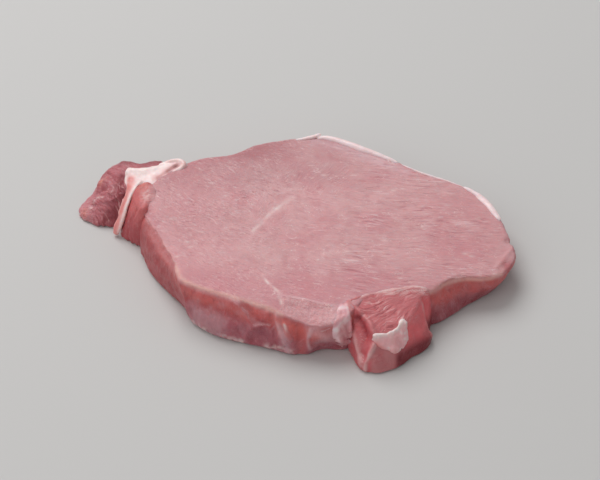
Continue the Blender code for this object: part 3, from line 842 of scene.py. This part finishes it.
def makePads(ground):
    mesh = bmesh.new()
    for corners, facing, height in seamPads:
        addPatch(mesh, ground, corners, facing, height, padLook["ragged"], dome=1.1)
    for line, radius in seamCords:
        addCord(mesh, line, radius)
    pads, points, normals, move = padPiece(
        "seamFat", mesh, padLook["voxel"], 7, padLook["seamSwell"], 1.8, padLook["fineSwell"], 0.9)
    raiseSkin(pads, points, normals, move)
    return pads


def makeBackFat():
    mesh = bmesh.new()
    for line, radius in backCords:
        addCord(mesh, line, radius)
    fat, points, normals, move = padPiece(
        "backFat", mesh, padLook["backVoxel"], 6, padLook["backSwell"], 3.0, padLook["backFine"], 1.2)
    raiseSkin(fat, points, normals, move)
    return fat


def paintFlake(flake):
    points, _ = drawnSkin(flake)
    paintColour(flake, padLook, "flake", [
        ("flakeRim", nearCurve(points, flakeRim, 1.35) * 0.9),
        ("flakeRim", nearLine(points, flakeRight, 0.5) * 0.6),
        ("flakeRim", softStep(noiseAt(points, 1.4, 1.1), 0.15, 0.5) * 0.4),
        ("flakeLow", nearLine(points, flakeFoot, 1.0) * 0.7),
    ])
    paintGrain(flake, points, fatness=0.9, wallness=0.7)


def paintSeam(pads):
    points, _ = drawnSkin(pads)
    torn = softStep(noiseAt(points, 1.5, 6.0) + 0.5 * noiseAt(points, 1.4, 1.1), -0.3, 0.25)
    white = sum(share * nearCurve(points, line, width) for line, width, share in seamArms)
    around = sum(nearCurve(points, line, 1.35 * width) for line, width, _ in seamArms)
    toFlap = softStep(points[:, 0] + 0.25 * (points[:, 1] + 38.0), 18.3, 19.1)
    paintColour(pads, padLook, "fatPink", [
        ("meat", clamp(1 - 1.1 * around) * 0.95),
        ("fat", white * (0.45 + 0.55 * torn)),
        ("flap", toFlap * 0.85),
    ])
    paintGrain(pads, points, fatness=0.9, wallness=0.7)


def paintBackFat(fat):
    points, _ = drawnSkin(fat)
    paintColour(fat, padLook, "fat", [("fatPink", 0.15 * softStep(noiseAt(points, 3.0, 6.0), 0.0, 0.5))])
    paintGrain(fat, points, fatness=0.9)


endLook = {
    "voxel": 0.24, "ribbonThick": 1.8,
    "tailRed": linear(182, 100, 108),
    "tailDark": linear(128, 42, 52),
    "tailPale": linear(214, 152, 158),
    "orange": linear(216, 136, 116),
    "tongue": linear(206, 106, 106),
    "tongueLow": linear(178, 78, 84),
    "eyeLike": linear(208, 152, 156),
    "fat": linear(254, 232, 230),
    "fatPink": linear(232, 170, 170),
    "fatGrey": linear(226, 130, 126),
}
tailOutline = [
    (-58, 22.3, 3.4), (-61.5, 22.8, 4), (-65.6, 25.2, 4.8), (-67.6, 27.6, 3.8), (-65.4, 32.4, 0.8),
    (-63.4, 37.8, 0.2), (-58, 39.8, 0), (-51.5, 38, 0), (-44, 39.2, 0), (-41, 35, 0), (-46, 28, 0),
    (-53, 24, 0),
]
tongueOutline = [
    (-47.6, 11.4, 2.2), (-49.2, 12.6, 3.6), (-51, 16, 5.2), (-52, 20.2, 4), (-51.4, 23.6, 1.4),
    (-49.2, 25.4, 0), (-46.4, 24.8, 0), (-43.6, 21.8, 0), (-42, 18, 0), (-42.4, 14.4, 0), (-44.8, 11.8, 0),
]
barOutline = [
    (-34.4, 32.6, 0), (-36.6, 36, 0), (-40, 35.4, 0), (-45.5, 32.9, 0), (-50.6, 32.3, 0),
    (-54.2, 32.6, 1), (-55, 29.8, 1.4), (-54.6, 26.4, 1), (-52.4, 24.2, 0), (-49.6, 24, 0),
    (-45.6, 23, 0), (-42.6, 25.4, 0), (-38.6, 28.8, 0),
]
ribbonLeft = [
    (-54.9, 30.6, 12.8), (-54.8, 27.4, 12.6), (-54.6, 23.9, 12), (-55.3, 20.8, 10.2), (-56.5, 18.2, 7.2),
    (-58.2, 16.4, 3.6), (-58.6, 15.4, 0.9),
]
ribbonRight = [
    (-49.8, 25.4, 13.8), (-51, 22.9, 13.4), (-52.4, 19.8, 12.4), (-53.6, 17.2, 10.4), (-54.9, 15.2, 7),
    (-56.5, 14.3, 2.4), (-57.2, 14, 0.9),
]
ribbonEdge = [
    (-49.6, 25.6, 14.4), (-51.2, 22.9, 13.9), (-52.6, 19.8, 12.8), (-53.8, 17, 10.6), (-55.1, 15, 7),
    (-56.7, 14, 2.4),
]
ribbonMiddle = [
    (-53.2, 27, 13.6), (-53.2, 23.6, 12.8), (-54.2, 20, 11), (-55.6, 17.4, 7.6), (-57.2, 15.6, 3),
]
barCurl = [
    (-44, 33.4, 15), (-40.4, 34.2, 15.8), (-37.4, 34.4, 16), (-35.6, 32.8, 15.8), (-36.8, 31, 15.3),
]
barValley = [(-38, 32.4, 15.8), (-41, 29.8, 15.2), (-44.6, 26.6, 14.6)]
tailShade = [(-56.2, 30, 12), (-56.6, 25, 10.6), (-58.4, 20.6, 6), (-59.4, 18, 2)]
tailThread = [
    (-67.2, 24.4, 3.4), (-66.4, 24.5, 4.4), (-65.4, 26.6, 6), (-64.4, 26.6, 6.6), (-62.6, 25.4, 7.6),
]
tailShort = [(-58.7, 29.8, 11.6), (-59, 27.6, 11), (-59.8, 25.6, 10)]
tailStrokes = [
    (2.2, -1.1, [(-57.4, 27.6, 12.2), (-58.8, 22.6, 8), (-59.8, 19, 3)]),
    (1.1, -1.2, [(-67.2, 30, 5.6), (-64.6, 29, 7.6), (-62.2, 28.4, 8.8)]),
    (0.6, 0.45, [(-67.4, 24.8, 3.4), (-66.5, 24.7, 4.4), (-65.4, 26.4, 6), (-64.4, 26.6, 6.6),
                 (-62.8, 25.4, 7.6)]),
    (1.6, 1, [(-64.6, 33, 7.8), (-62.4, 31.6, 9.2)]),
    (1.2, 0.6, [(-66, 36, 6), (-62.4, 36.4, 9.4), (-59.6, 37, 11.8)]),
    (1, -0.7, [(-61.6, 34.4, 10.2), (-59.4, 30.4, 11)]),
    (0.6, 0.4, [(-58.6, 30, 11.6), (-58.9, 27.6, 11), (-59.6, 25.6, 10)]),
]
tongueStrokes = [
    (0.7, 0.3, [(-50.6, 22.8, 14), (-52.4, 19.8, 12.8), (-54, 16.2, 9.6), (-55.6, 13.8, 5)]),
    (0.6, 0.3, [(-48.4, 12.4, 14), (-50.4, 12.6, 9), (-52, 12.6, 3)]),
    (0.8, -0.5, [(-50, 13.4, 12.2), (-52.2, 12.9, 6.6), (-53.2, 12.4, 1.6)]),
]
fatStrokes = [
    (0.6, -0.8, [(-37.6, 32.2, 16), (-39.2, 31, 15.6), (-40.4, 29.8, 15.3)]),
    (0.8, -0.35, [(-40.6, 29.6, 15.4), (-43.6, 26.6, 14.8)]),
    (1.6, 0.5, [(-54.4, 31.4, 14.4), (-50, 30.6, 14.9), (-46, 31.4, 15.2)]),
    (0.8, -0.5, [(-54.6, 29.4, 13.8), (-54.2, 25.6, 13), (-54.6, 21.4, 11.2)]),
    (0.55, 0.5, ribbonEdge),
    (0.6, 0.4, [(-55.3, 27.6, 13), (-55.1, 23.9, 12.4), (-55.8, 20.8, 10.5), (-57, 18, 7.4)]),
    (1, -0.6, [(-53.4, 22.6, 12.4), (-54.8, 18.8, 9.8), (-56.4, 16.4, 5.8)]),
]

def tailTop(x, y):
    rise = clamp((x + 70.5) / 14.0)
    return 3.8 + 9.4 * rise**0.9 - 0.14 * clamp(34.0 - y, 0.0, 60.0)


def tongueTop(x, y):
    height = 15.35 + 0.35 * softStep(y, 17.0, 21.5) - 0.10 * clamp(y - 21.0, 0.0, 60.0)
    toEye = 0.24 * clamp(x + 46.4, 0.0, 60.0) + 0.5 * clamp(15.0 - y, 0.0, 60.0) * softStep(x, -48.0, -45.5)
    return height - 0.38 * clamp(-47.2 - x, 0.0, 60.0) - toEye


def barTop(x, y):
    return 15.1 + 0.07 * (x + 47.0) + 0.12 * (y - 30.0)


def endPiece(name, mesh, rounds, strokes, bumps):
    piece = newPiece(name, mesh)
    oneSkin(piece, endLook["voxel"])
    soften(piece, rounds)
    pressStrokes(piece, strokes)
    points, normals = readSkin(piece)
    raiseSkin(piece, points, normals, bumps(points))
    return piece


def tailRun(points):
    # fibres curve round the lobe's tip
    x, y = points[:, 0] + 67.5, points[:, 1] - 21.5
    away = np.hypot(np.hypot(x, y), points[:, 2]) + 0.5 * noiseAt(points, 3.0, 1.0)
    return np.column_stack([np.arctan2(y, x) * 12.0, away, points[:, 2] * 0.3])


def tailBumps(points):
    low = softStep(-points[:, 1], -30.0, -26.0)
    return (strands(tailRun(points), 2.0) * (0.17 + 0.30 * low) + noiseAt(points, 4.0, 5.0) * 0.45
            + noiseAt(points, 1.7, 6.0) * 0.16)


def makeTail():
    block = {"outline": tailOutline, "steps": 8, "top": tailTop, "middle": (-56.0, 30.5), "rounding": 2.0,
             "lift": 0.5, "swell": 1.0}
    return endPiece("tailLobe", blockMesh(block), 5, tailStrokes, tailBumps)


def tongueBumps(points):
    low = 1 - softStep(points[:, 2], 8.0, 13.0)
    wrinkles = np.sin(points[:, 1] * 4.4 + 2.0 * noiseAt(points, 2.0, 3.0))
    ragged = noiseAt(points, 1.3, 7.7) * (1 - softStep(points[:, 2], 0.8, 2.6))
    return (noiseAt(points, 0.9, 3.4, (1, 1, 0.15)) * 0.16 * low + noiseAt(points, 3.5, 1.0) * 0.22
            + nearSpot(points, (-47.0, 17.0, 15.2), (2.2, 4.4, 2.0)) * wrinkles * 0.10 + ragged * 0.6)


def makeTongue():
    block = {"outline": tongueOutline, "steps": 8, "top": tongueTop, "middle": (-48.0, 18.6), "rounding": 1.1,
             "lift": 0.4, "swell": 1.0}
    return endPiece("redTongue", blockMesh(block), 5, tongueStrokes, tongueBumps)


def fatBumps(points):
    return noiseAt(points, 3.0, 2.0) * 0.25 + noiseAt(points, 1.2, 3.0) * 0.08


def makeFat():
    block = {"outline": barOutline, "steps": 8, "top": barTop, "middle": (-46.5, 29.4), "rounding": 1.3,
             "lift": 6.0, "swell": 0.3}
    mesh = blockMesh(block)
    addSheet(mesh, ribbonLeft, ribbonRight, endLook["ribbonThick"])
    addCord(mesh, barCurl, 0.9)
    return endPiece("fatFold", mesh, 4, fatStrokes, fatBumps)


def paintTail(tail):
    points, normals = drawnSkin(tail)
    x, y, _ = points.T
    shade = nearLine(points, tailShade, 2.2)
    lines = np.maximum(nearLine(points, tailThread, 0.45), nearLine(points, tailShort, 0.4))
    paintColour(tail, endLook, "tailRed", [
        ("tailDark", softStep(noiseAt(points, 2.4, 1.1), -0.1, 0.5) * 0.3),
        ("tailDark", shade * 0.9),
        ("tailDark", softStep(y, 34.5, 37.0) * softStep(x, -60.0, -56.0) * 0.8),
        ("tailPale", softStep(-x, 64.5, 68.0) * 0.6),
        # painted light: up-facing skin outside the painted shade is made paler
        ("tailPale", (1 - shade) * softStep(normals[:, 2], 0.3, 0.85) * 0.2),
        ("orange", nearSpot(points, (-63.4, 32.6, 8.6), (1.8, 1.5, 1.8)) * 0.8),
        ("orange", nearSpot(points, (-69.0, 24.0, 2.0), (1.5, 2.0, 1.6)) * 0.5),
        ("fat", lines * 0.5),
    ])
    paintGrain(tail, tailRun(points), cutFace=1.0, wallness=0.3, shortGrain=0.3)


def paintTongue(tongue):
    points, normals = drawnSkin(tongue)
    x, _, z = points.T
    sheen = nearSpot(points, (-47.0, 17.8, 15.2), (2.0, 4.4, 2.2))
    sheen = sheen * (0.45 + 0.55 * softStep(noiseAt(points, 0.9, 2.0), -0.3, 0.3))
    paintColour(tongue, endLook, "tongue", [
        ("tongueLow", (1 - softStep(z, 6.0, 13.0)) * 0.9),
        ("orange", nearSpot(points, (-48.8, 22.6, 14.6), (2.0, 2.4, 1.6)) * 0.3),
        ("eyeLike", softStep(x, -47.0, -44.8) * softStep(normals[:, 2], 0.3, 0.85) * 0.85),
        ("fat", sheen * 0.5),
    ])
    paintGrain(tongue, points[:, [2, 0, 1]], cutFace=0.3, wallness=0.5, shortGrain=0.3)


def paintFat(fat):
    points, _ = drawnSkin(fat)
    edge = np.maximum(nearLine(points, ribbonEdge, 0.7), nearLine(points, ribbonLeft, 0.6))
    paintColour(fat, endLook, "fat", [
        ("fatPink", nearLine(points, barValley, 1.4) * 0.8),
        ("fatGrey", (1 - softStep(points[:, 2], 5.0, 12.5)) * 0.95),
        ("fatGrey", nearLine(points, ribbonMiddle, 1.7) * 1.4),
        ("fatPink", softStep(noiseAt(points, 2.4, 1.1), 0.0, 0.6) * 0.4),
        ("tailDark", nearSpot(points, (-38.4, 32.2, 15.2), (1.1, 0.7, 1.2)) * 0.7),
        ("fat", edge * 0.95),
    ])
    paintGrain(fat, points, fatness=1.0, shortGrain=0.3)


def newGroup(name, vector, floats, outputs):
    # a shared effect: one vector and some plain numbers in, masks and heights out
    group = bpy.data.node_groups.new(name, "ShaderNodeTree")
    group.interface.new_socket(vector, in_out="INPUT", socket_type="NodeSocketVector")
    for labels, way in ((floats, "INPUT"), (outputs, "OUTPUT")):
        for label in labels:
            group.interface.new_socket(label, in_out=way, socket_type="NodeSocketFloat")
    return group, group.nodes.new("NodeGroupInput"), group.nodes.new("NodeGroupOutput")


def addNode(tree, kind, **values):
    node = tree.nodes.new(kind)
    for name, value in values.items():
        setattr(node, name, value)
    return node


def feed(tree, socket, value):
    # a link where the value is another node's output, else a plain number or colour
    if hasattr(value, "links"):
        tree.links.new(value, socket)
    else:
        socket.default_value = value


def mathNode(tree, operation, first, second=None, clampIt=False):
    node = addNode(tree, "ShaderNodeMath", operation=operation, use_clamp=clampIt)
    feed(tree, node.inputs[0], first)
    if second is not None:
        feed(tree, node.inputs[1], second)
    return node.outputs[0]


def addAll(tree, *values):
    total = values[0]
    for value in values[1:]:
        total = mathNode(tree, "ADD", total, value)
    return total


def times(tree, *values):
    product = values[0]
    for value in values[1:]:
        product = mathNode(tree, "MULTIPLY", product, value)
    return product


def scaleVector(tree, vector, scale):
    node = addNode(tree, "ShaderNodeMapping")
    tree.links.new(vector, node.inputs["Vector"])
    node.inputs["Scale"].default_value = scale
    return node.outputs[0]


def noiseNode(tree, vector, scale, detail=3.0, roughness=0.55, distortion=0.0):
    node = addNode(tree, "ShaderNodeTexNoise")
    tree.links.new(vector, node.inputs["Vector"])
    for name, value in (("Scale", scale), ("Detail", detail), ("Roughness", roughness),
                        ("Distortion", distortion)):
        node.inputs[name].default_value = value
    return node.outputs["Fac"]


def rangeNode(tree, value, low, high, outLow=0.0, outHigh=1.0):
    node = addNode(tree, "ShaderNodeMapRange", interpolation_type="SMOOTHSTEP")
    tree.links.new(value, node.inputs["Value"])
    for name, number in (("From Min", low), ("From Max", high), ("To Min", outLow), ("To Max", outHigh)):
        node.inputs[name].default_value = number
    return node.outputs["Result"]


def ridgeNode(tree, value, width):
    # thin lines where a noise passes its middle
    return rangeNode(tree, mathNode(tree, "ABSOLUTE", mathNode(tree, "SUBTRACT", value, 0.5)), width, 0.0)


def mixColour(tree, factor, first, second):
    node = addNode(tree, "ShaderNodeMix", data_type="RGBA")
    for place, value in ((0, factor), (6, first), (7, second)):
        feed(tree, node.inputs[place], value)
    return node.outputs[2]


def fibreGroup():
    # pale and dark strokes along the muscle fibres, and their height
    group, given, result = newGroup("muscle fibres", "Fibre", ("Short",), ("Pale", "Dark", "Height"))
    longRun = scaleVector(group, given.outputs["Fibre"], (0.17, 1.7, 1.0))
    shortRun = scaleVector(group, given.outputs["Fibre"], (0.55, 1.7, 1.0))
    longLines = noiseNode(group, longRun, 1.0, 4.0, 0.65, 0.3)
    shortLines = noiseNode(group, shortRun, 1.0, 4.0, 0.65, 1.0)
    difference = mathNode(group, "SUBTRACT", shortLines, longLines)
    lines = addAll(group, longLines, times(group, difference, given.outputs["Short"]))
    group.links.new(rangeNode(group, lines, 0.52, 0.68), result.inputs["Pale"])
    group.links.new(rangeNode(group, lines, 0.47, 0.32), result.inputs["Dark"])
    group.links.new(lines, result.inputs["Height"])
    return group


def marblingGroup():
    # sparse thin threads of fat, and short bright flecks
    group, given, result = newGroup("marbling", "Fibre", (), ("Thread",))
    fibre = given.outputs["Fibre"]
    lines = noiseNode(group, scaleVector(group, fibre, (0.30, 0.9, 0.6)), 0.6, 2.0, 0.5, 1.4)
    thread = ridgeNode(group, lines, 0.014)
    where = rangeNode(group, noiseNode(group, fibre, 0.22, 2.0), 0.45, 0.58)
    dots = noiseNode(group, scaleVector(group, fibre, (0.45, 1.5, 1.0)), 0.9, 1.0, 0.5, 0.6)
    either = mathNode(group, "MAXIMUM", thread, rangeNode(group, dots, 0.73, 0.80))
    group.links.new(times(group, either, where), result.inputs["Thread"])
    return group


def filmGroup():
    # torn pale film and dark wet gaps on the side of the cut, and its roughness in height
    group, given, result = newGroup("torn film", "Place", (), ("Film", "Dark", "Height"))
    run = scaleVector(group, given.outputs["Place"], (1.0, 1.0, 0.55))
    veil = noiseNode(group, run, 330.0, 5.0, 0.62, 0.9)
    ridge = ridgeNode(group, noiseNode(group, run, 520.0, 2.0, 0.5, 1.6), 0.03)
    film = mathNode(group, "MAXIMUM", rangeNode(group, veil, 0.54, 0.72), times(group, ridge, 0.55))
    group.links.new(film, result.inputs["Film"])
    group.links.new(rangeNode(group, veil, 0.46, 0.30), result.inputs["Dark"])
    group.links.new(addAll(group, veil, times(group, ridge, 0.3)), result.inputs["Height"])
    return group


def moistureGroup():
    # patches of wetter and drier skin
    group, given, result = newGroup("moisture", "Place", (), ("Wet",))
    broad = noiseNode(group, given.outputs["Place"], 160.0, 3.0)
    fine = noiseNode(group, given.outputs["Place"], 900.0, 2.0)
    group.links.new(addAll(group, times(group, broad, 0.7), times(group, fine, 0.3)), result.inputs["Wet"])
    return group


def meatEffects(tree, groups, given, place):
    # the shared effects of one material, each read from the piece's own run of fibres or its place
    effects = {}
    for name, group, inputs in (
            ("fibres", "fibres", {"Fibre": given["fibre"], "Short": given["shortGrain"]}),
            ("otherFibres", "fibres", {"Fibre": given["otherFibre"], "Short": given["shortGrain"]}),
            ("marbling", "marbling", {"Fibre": given["fibre"]}),
            ("film", "film", {"Place": place}),
            ("moisture", "moisture", {"Place": place})):
        node = addNode(tree, "ShaderNodeGroup", node_tree=groups[group])
        for label, value in inputs.items():
            tree.links.new(value, node.inputs[label])
        effects[name] = node.outputs
    return effects


def rawMeat(name, look, groups):
    material = bpy.data.materials.new(name)
    material.use_nodes = True
    tree = material.node_tree
    shader = tree.nodes["Principled BSDF"]
    given = {}
    for kind, labels in (("Color", ("tint",)), ("Vector", ("fibre", "otherFibre")), ("Fac", maskNames)):
        for label in labels:
            given[label] = addNode(tree, "ShaderNodeAttribute", attribute_name=label).outputs[kind]
    place = addNode(tree, "ShaderNodeTexCoord").outputs["Object"]
    effects = meatEffects(tree, groups, given, place)

    def blend(label):
        # from the one run of fibres to the other
        fibres, other = effects["fibres"][label], effects["otherFibres"][label]
        return addAll(tree, fibres, times(tree, mathNode(tree, "SUBTRACT", other, fibres), given["rising"]))

    lean = mathNode(tree, "SUBTRACT", 1.0, given["fatness"], True)
    grain = times(tree, lean, given["cutFace"])
    strength = rangeNode(tree, noiseNode(tree, place, 80.0, 2.0), 0.38, 0.62, 0.25, 1.3)
    net = noiseNode(tree, place, 1050.0, 2.0, 0.5, 0.5)
    mottle = noiseNode(tree, place, look["mottleScale"], 4.0, 0.6)
    film = effects["film"]
    colour = mixColour(tree, rangeNode(tree, mottle, 0.35, 0.7, 0.0, look["mottle"]), given["tint"],
                       (*look["mottleColour"], 1.0))
    for factors, value in (
            ((blend("Pale"), grain, strength, look["paleStroke"]), "paleColour"),
            ((blend("Dark"), grain, strength, look["darkStroke"]), "darkColour"),
            ((effects["marbling"]["Thread"], grain, look["thread"]), "threadColour"),
            ((film["Film"], given["wallness"], look["wallFilm"]), "filmColour"),
            ((film["Dark"], given["wallness"], look["wallDark"]), "wallDarkColour"),
            ((ridgeNode(tree, net, 0.05), given["netting"], look["net"]), "paleColour")):
        colour = mixColour(tree, times(tree, *factors), colour, (*look[value], 1.0))
    tree.links.new(colour, shader.inputs["Base Color"])
    rough = rangeNode(tree, effects["moisture"]["Wet"], 0.35, 0.65, look["roughDry"], look["roughWet"])
    tree.links.new(rough, shader.inputs["Roughness"])
    fine = noiseNode(tree, place, look["fineScale"], 3.0, 0.6)
    height = addAll(tree, times(tree, blend("Height"), grain, look["fibreHeight"]),
                    times(tree, film["Height"], given["wallness"], look["filmHeight"]),
                    times(tree, fine, look["fineHeight"]), times(tree, net, given["netting"]))
    bump = addNode(tree, "ShaderNodeBump")
    bump.inputs["Strength"].default_value = look["bump"]
    bump.inputs["Distance"].default_value = look["bumpDepth"]
    tree.links.new(height, bump.inputs["Height"])
    tree.links.new(bump.outputs["Normal"], shader.inputs["Normal"])
    for label, key in (("Subsurface Weight", "subsurface"), ("Subsurface Radius", "subsurfaceRadius"),
                       ("Subsurface Scale", "subsurfaceScale"), ("Specular IOR Level", "specular"),
                       ("Coat Weight", "coat"), ("Coat Roughness", "coatRoughness")):
        shader.inputs[label].default_value = look[key]
    return material


leanLook = {
    "paleStroke": 0.6, "darkStroke": 0.55, "thread": 0.6, "net": 0.4, "wallFilm": 0.42, "wallDark": 0.38,
    "paleColour": linear(234, 200, 202), "darkColour": linear(178, 108, 116),
    "threadColour": linear(248, 226, 224), "filmColour": linear(220, 158, 168),
    "wallDarkColour": linear(138, 46, 54),
    "mottle": 0.26, "mottleScale": 260.0, "mottleColour": linear(198, 136, 142), "fineScale": 2200.0,
    "fibreHeight": 1.4, "filmHeight": 1.5, "fineHeight": 0.25, "bump": 0.7, "bumpDepth": 0.0004,
    "roughDry": 0.52, "roughWet": 0.30, "specular": 0.28, "coat": 0.05, "coatRoughness": 0.25,
    "subsurface": 0.3, "subsurfaceRadius": (1.0, 0.32, 0.24), "subsurfaceScale": 0.0014,
}
redLook = dict(
    leanLook, paleStroke=0.9, darkStroke=0.8, thread=0.3, wallFilm=0.35, mottle=0.25, coat=0.08,
    paleColour=linear(232, 176, 176), darkColour=linear(146, 60, 68), mottleColour=linear(184, 96, 100))
fatLook = dict(
    leanLook, filmColour=linear(250, 226, 226), wallDarkColour=linear(206, 112, 118),
    mottle=0.35, mottleScale=420.0, mottleColour=linear(228, 186, 182),
    subsurface=0.35, subsurfaceRadius=(1.0, 0.7, 0.55), specular=0.5, bump=0.3)


eye = makeEye()
flap = makeFlap()
print("muscles shaped")
ground = groundOf((eye, flap))
flake, pads = makeFlake(ground), makePads(ground)
backFat = makeBackFat()
print("pads of fat shaped")
tail, tongue, fat = makeTail(), makeTongue(), makeFat()
print("left end shaped")
for piece in (eye, flap, tail, tongue, fat, flake, pads, backFat):
    soften(piece, 1)
    settle(piece)
for piece, keep in ((eye, 0.10), (flap, 0.2), (tail, 0.2)):
    thinUnderside(piece, keep)

groups = {"fibres": fibreGroup(), "marbling": marblingGroup(),
          "film": filmGroup(), "moisture": moistureGroup()}
leanMeat = rawMeat("pale lean", leanLook, groups)
redMeat = rawMeat("red lean", redLook, groups)
softFat = rawMeat("soft fat", fatLook, groups)
for piece, paint, material in (
        (eye, paintEye, leanMeat), (flap, paintFlap, redMeat), (tail, paintTail, redMeat),
        (tongue, paintTongue, redMeat), (fat, paintFat, softFat), (flake, paintFlake, softFat),
        (pads, paintSeam, softFat), (backFat, paintBackFat, softFat)):
    paint(piece)
    piece.data.materials.clear()
    piece.data.materials.append(material)
    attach(piece, "root")
    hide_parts(cadNode)
    print("painted", piece.name, len(piece.data.polygons))


setLook = {
    "floor": (0.60, 0.59, 0.58), "floorHalf": 3.0, "floorRoughness": 0.8, "world": 0.36,
    "lights": (  # name, place, size, power
        ("key", (-0.35, 0.55, 0.95), 0.9, 8.2),
        ("fill", (-0.7, -0.6, 0.7), 1.2, 2.6),
    ),
    "elevation": 42, "distance": 0.54,  # degrees above the board, looking along +Y, and metres
    "aimShift": (2.6, 3.0), "aimHeight": 8.0, "lens": 100, "sensor": 36,
}


def paleFloor():
    mesh = bmesh.new()
    bmesh.ops.create_grid(mesh, x_segments=1, y_segments=1, size=setLook["floorHalf"])
    floor = newPiece("floor", mesh)
    material = bpy.data.materials.new("pale floor")
    material.use_nodes = True
    shader = material.node_tree.nodes["Principled BSDF"]
    shader.inputs["Base Color"].default_value = (*setLook["floor"], 1.0)
    shader.inputs["Roughness"].default_value = setLook["floorRoughness"]
    floor.data.materials.append(material)


def softLight(name, place, size, power):
    light = bpy.data.lights.new(name, "AREA")
    light.shape = "DISK"
    light.size = size
    light.energy = power
    lamp = bpy.data.objects.new(name, light)
    lamp.location = place
    lamp.rotation_euler = (-Vector(place)).to_track_quat("-Z", "Y").to_euler()
    bpy.context.scene.collection.objects.link(lamp)


def studio():
    paleFloor()
    for name, place, size, power in setLook["lights"]:
        softLight(name, place, size, power)
    world = bpy.data.worlds.new("soft room")
    world.use_nodes = True
    world.node_tree.nodes["Background"].inputs["Color"].default_value = (1, 1, 1, 1)
    world.node_tree.nodes["Background"].inputs["Strength"].default_value = setLook["world"]
    bpy.context.scene.world = world
    bpy.context.scene.view_settings.view_transform = "Standard"


def camera():
    elevation = math.radians(setLook["elevation"])
    shift = setLook["aimShift"]
    aim = Vector((cadMiddle[0] + shift[0], cadMiddle[1] + shift[1], setLook["aimHeight"])) * mm
    data = bpy.data.cameras.new("camera")
    data.lens = setLook["lens"]
    data.sensor_width = setLook["sensor"]
    seat = bpy.data.objects.new("camera", data)
    seat.location = aim + Vector((0, -math.cos(elevation), math.sin(elevation))) * setLook["distance"]
    seat.rotation_euler = (math.radians(90) - elevation, 0, 0)
    bpy.context.scene.collection.objects.link(seat)
    bpy.context.scene.camera = seat


studio()
camera()
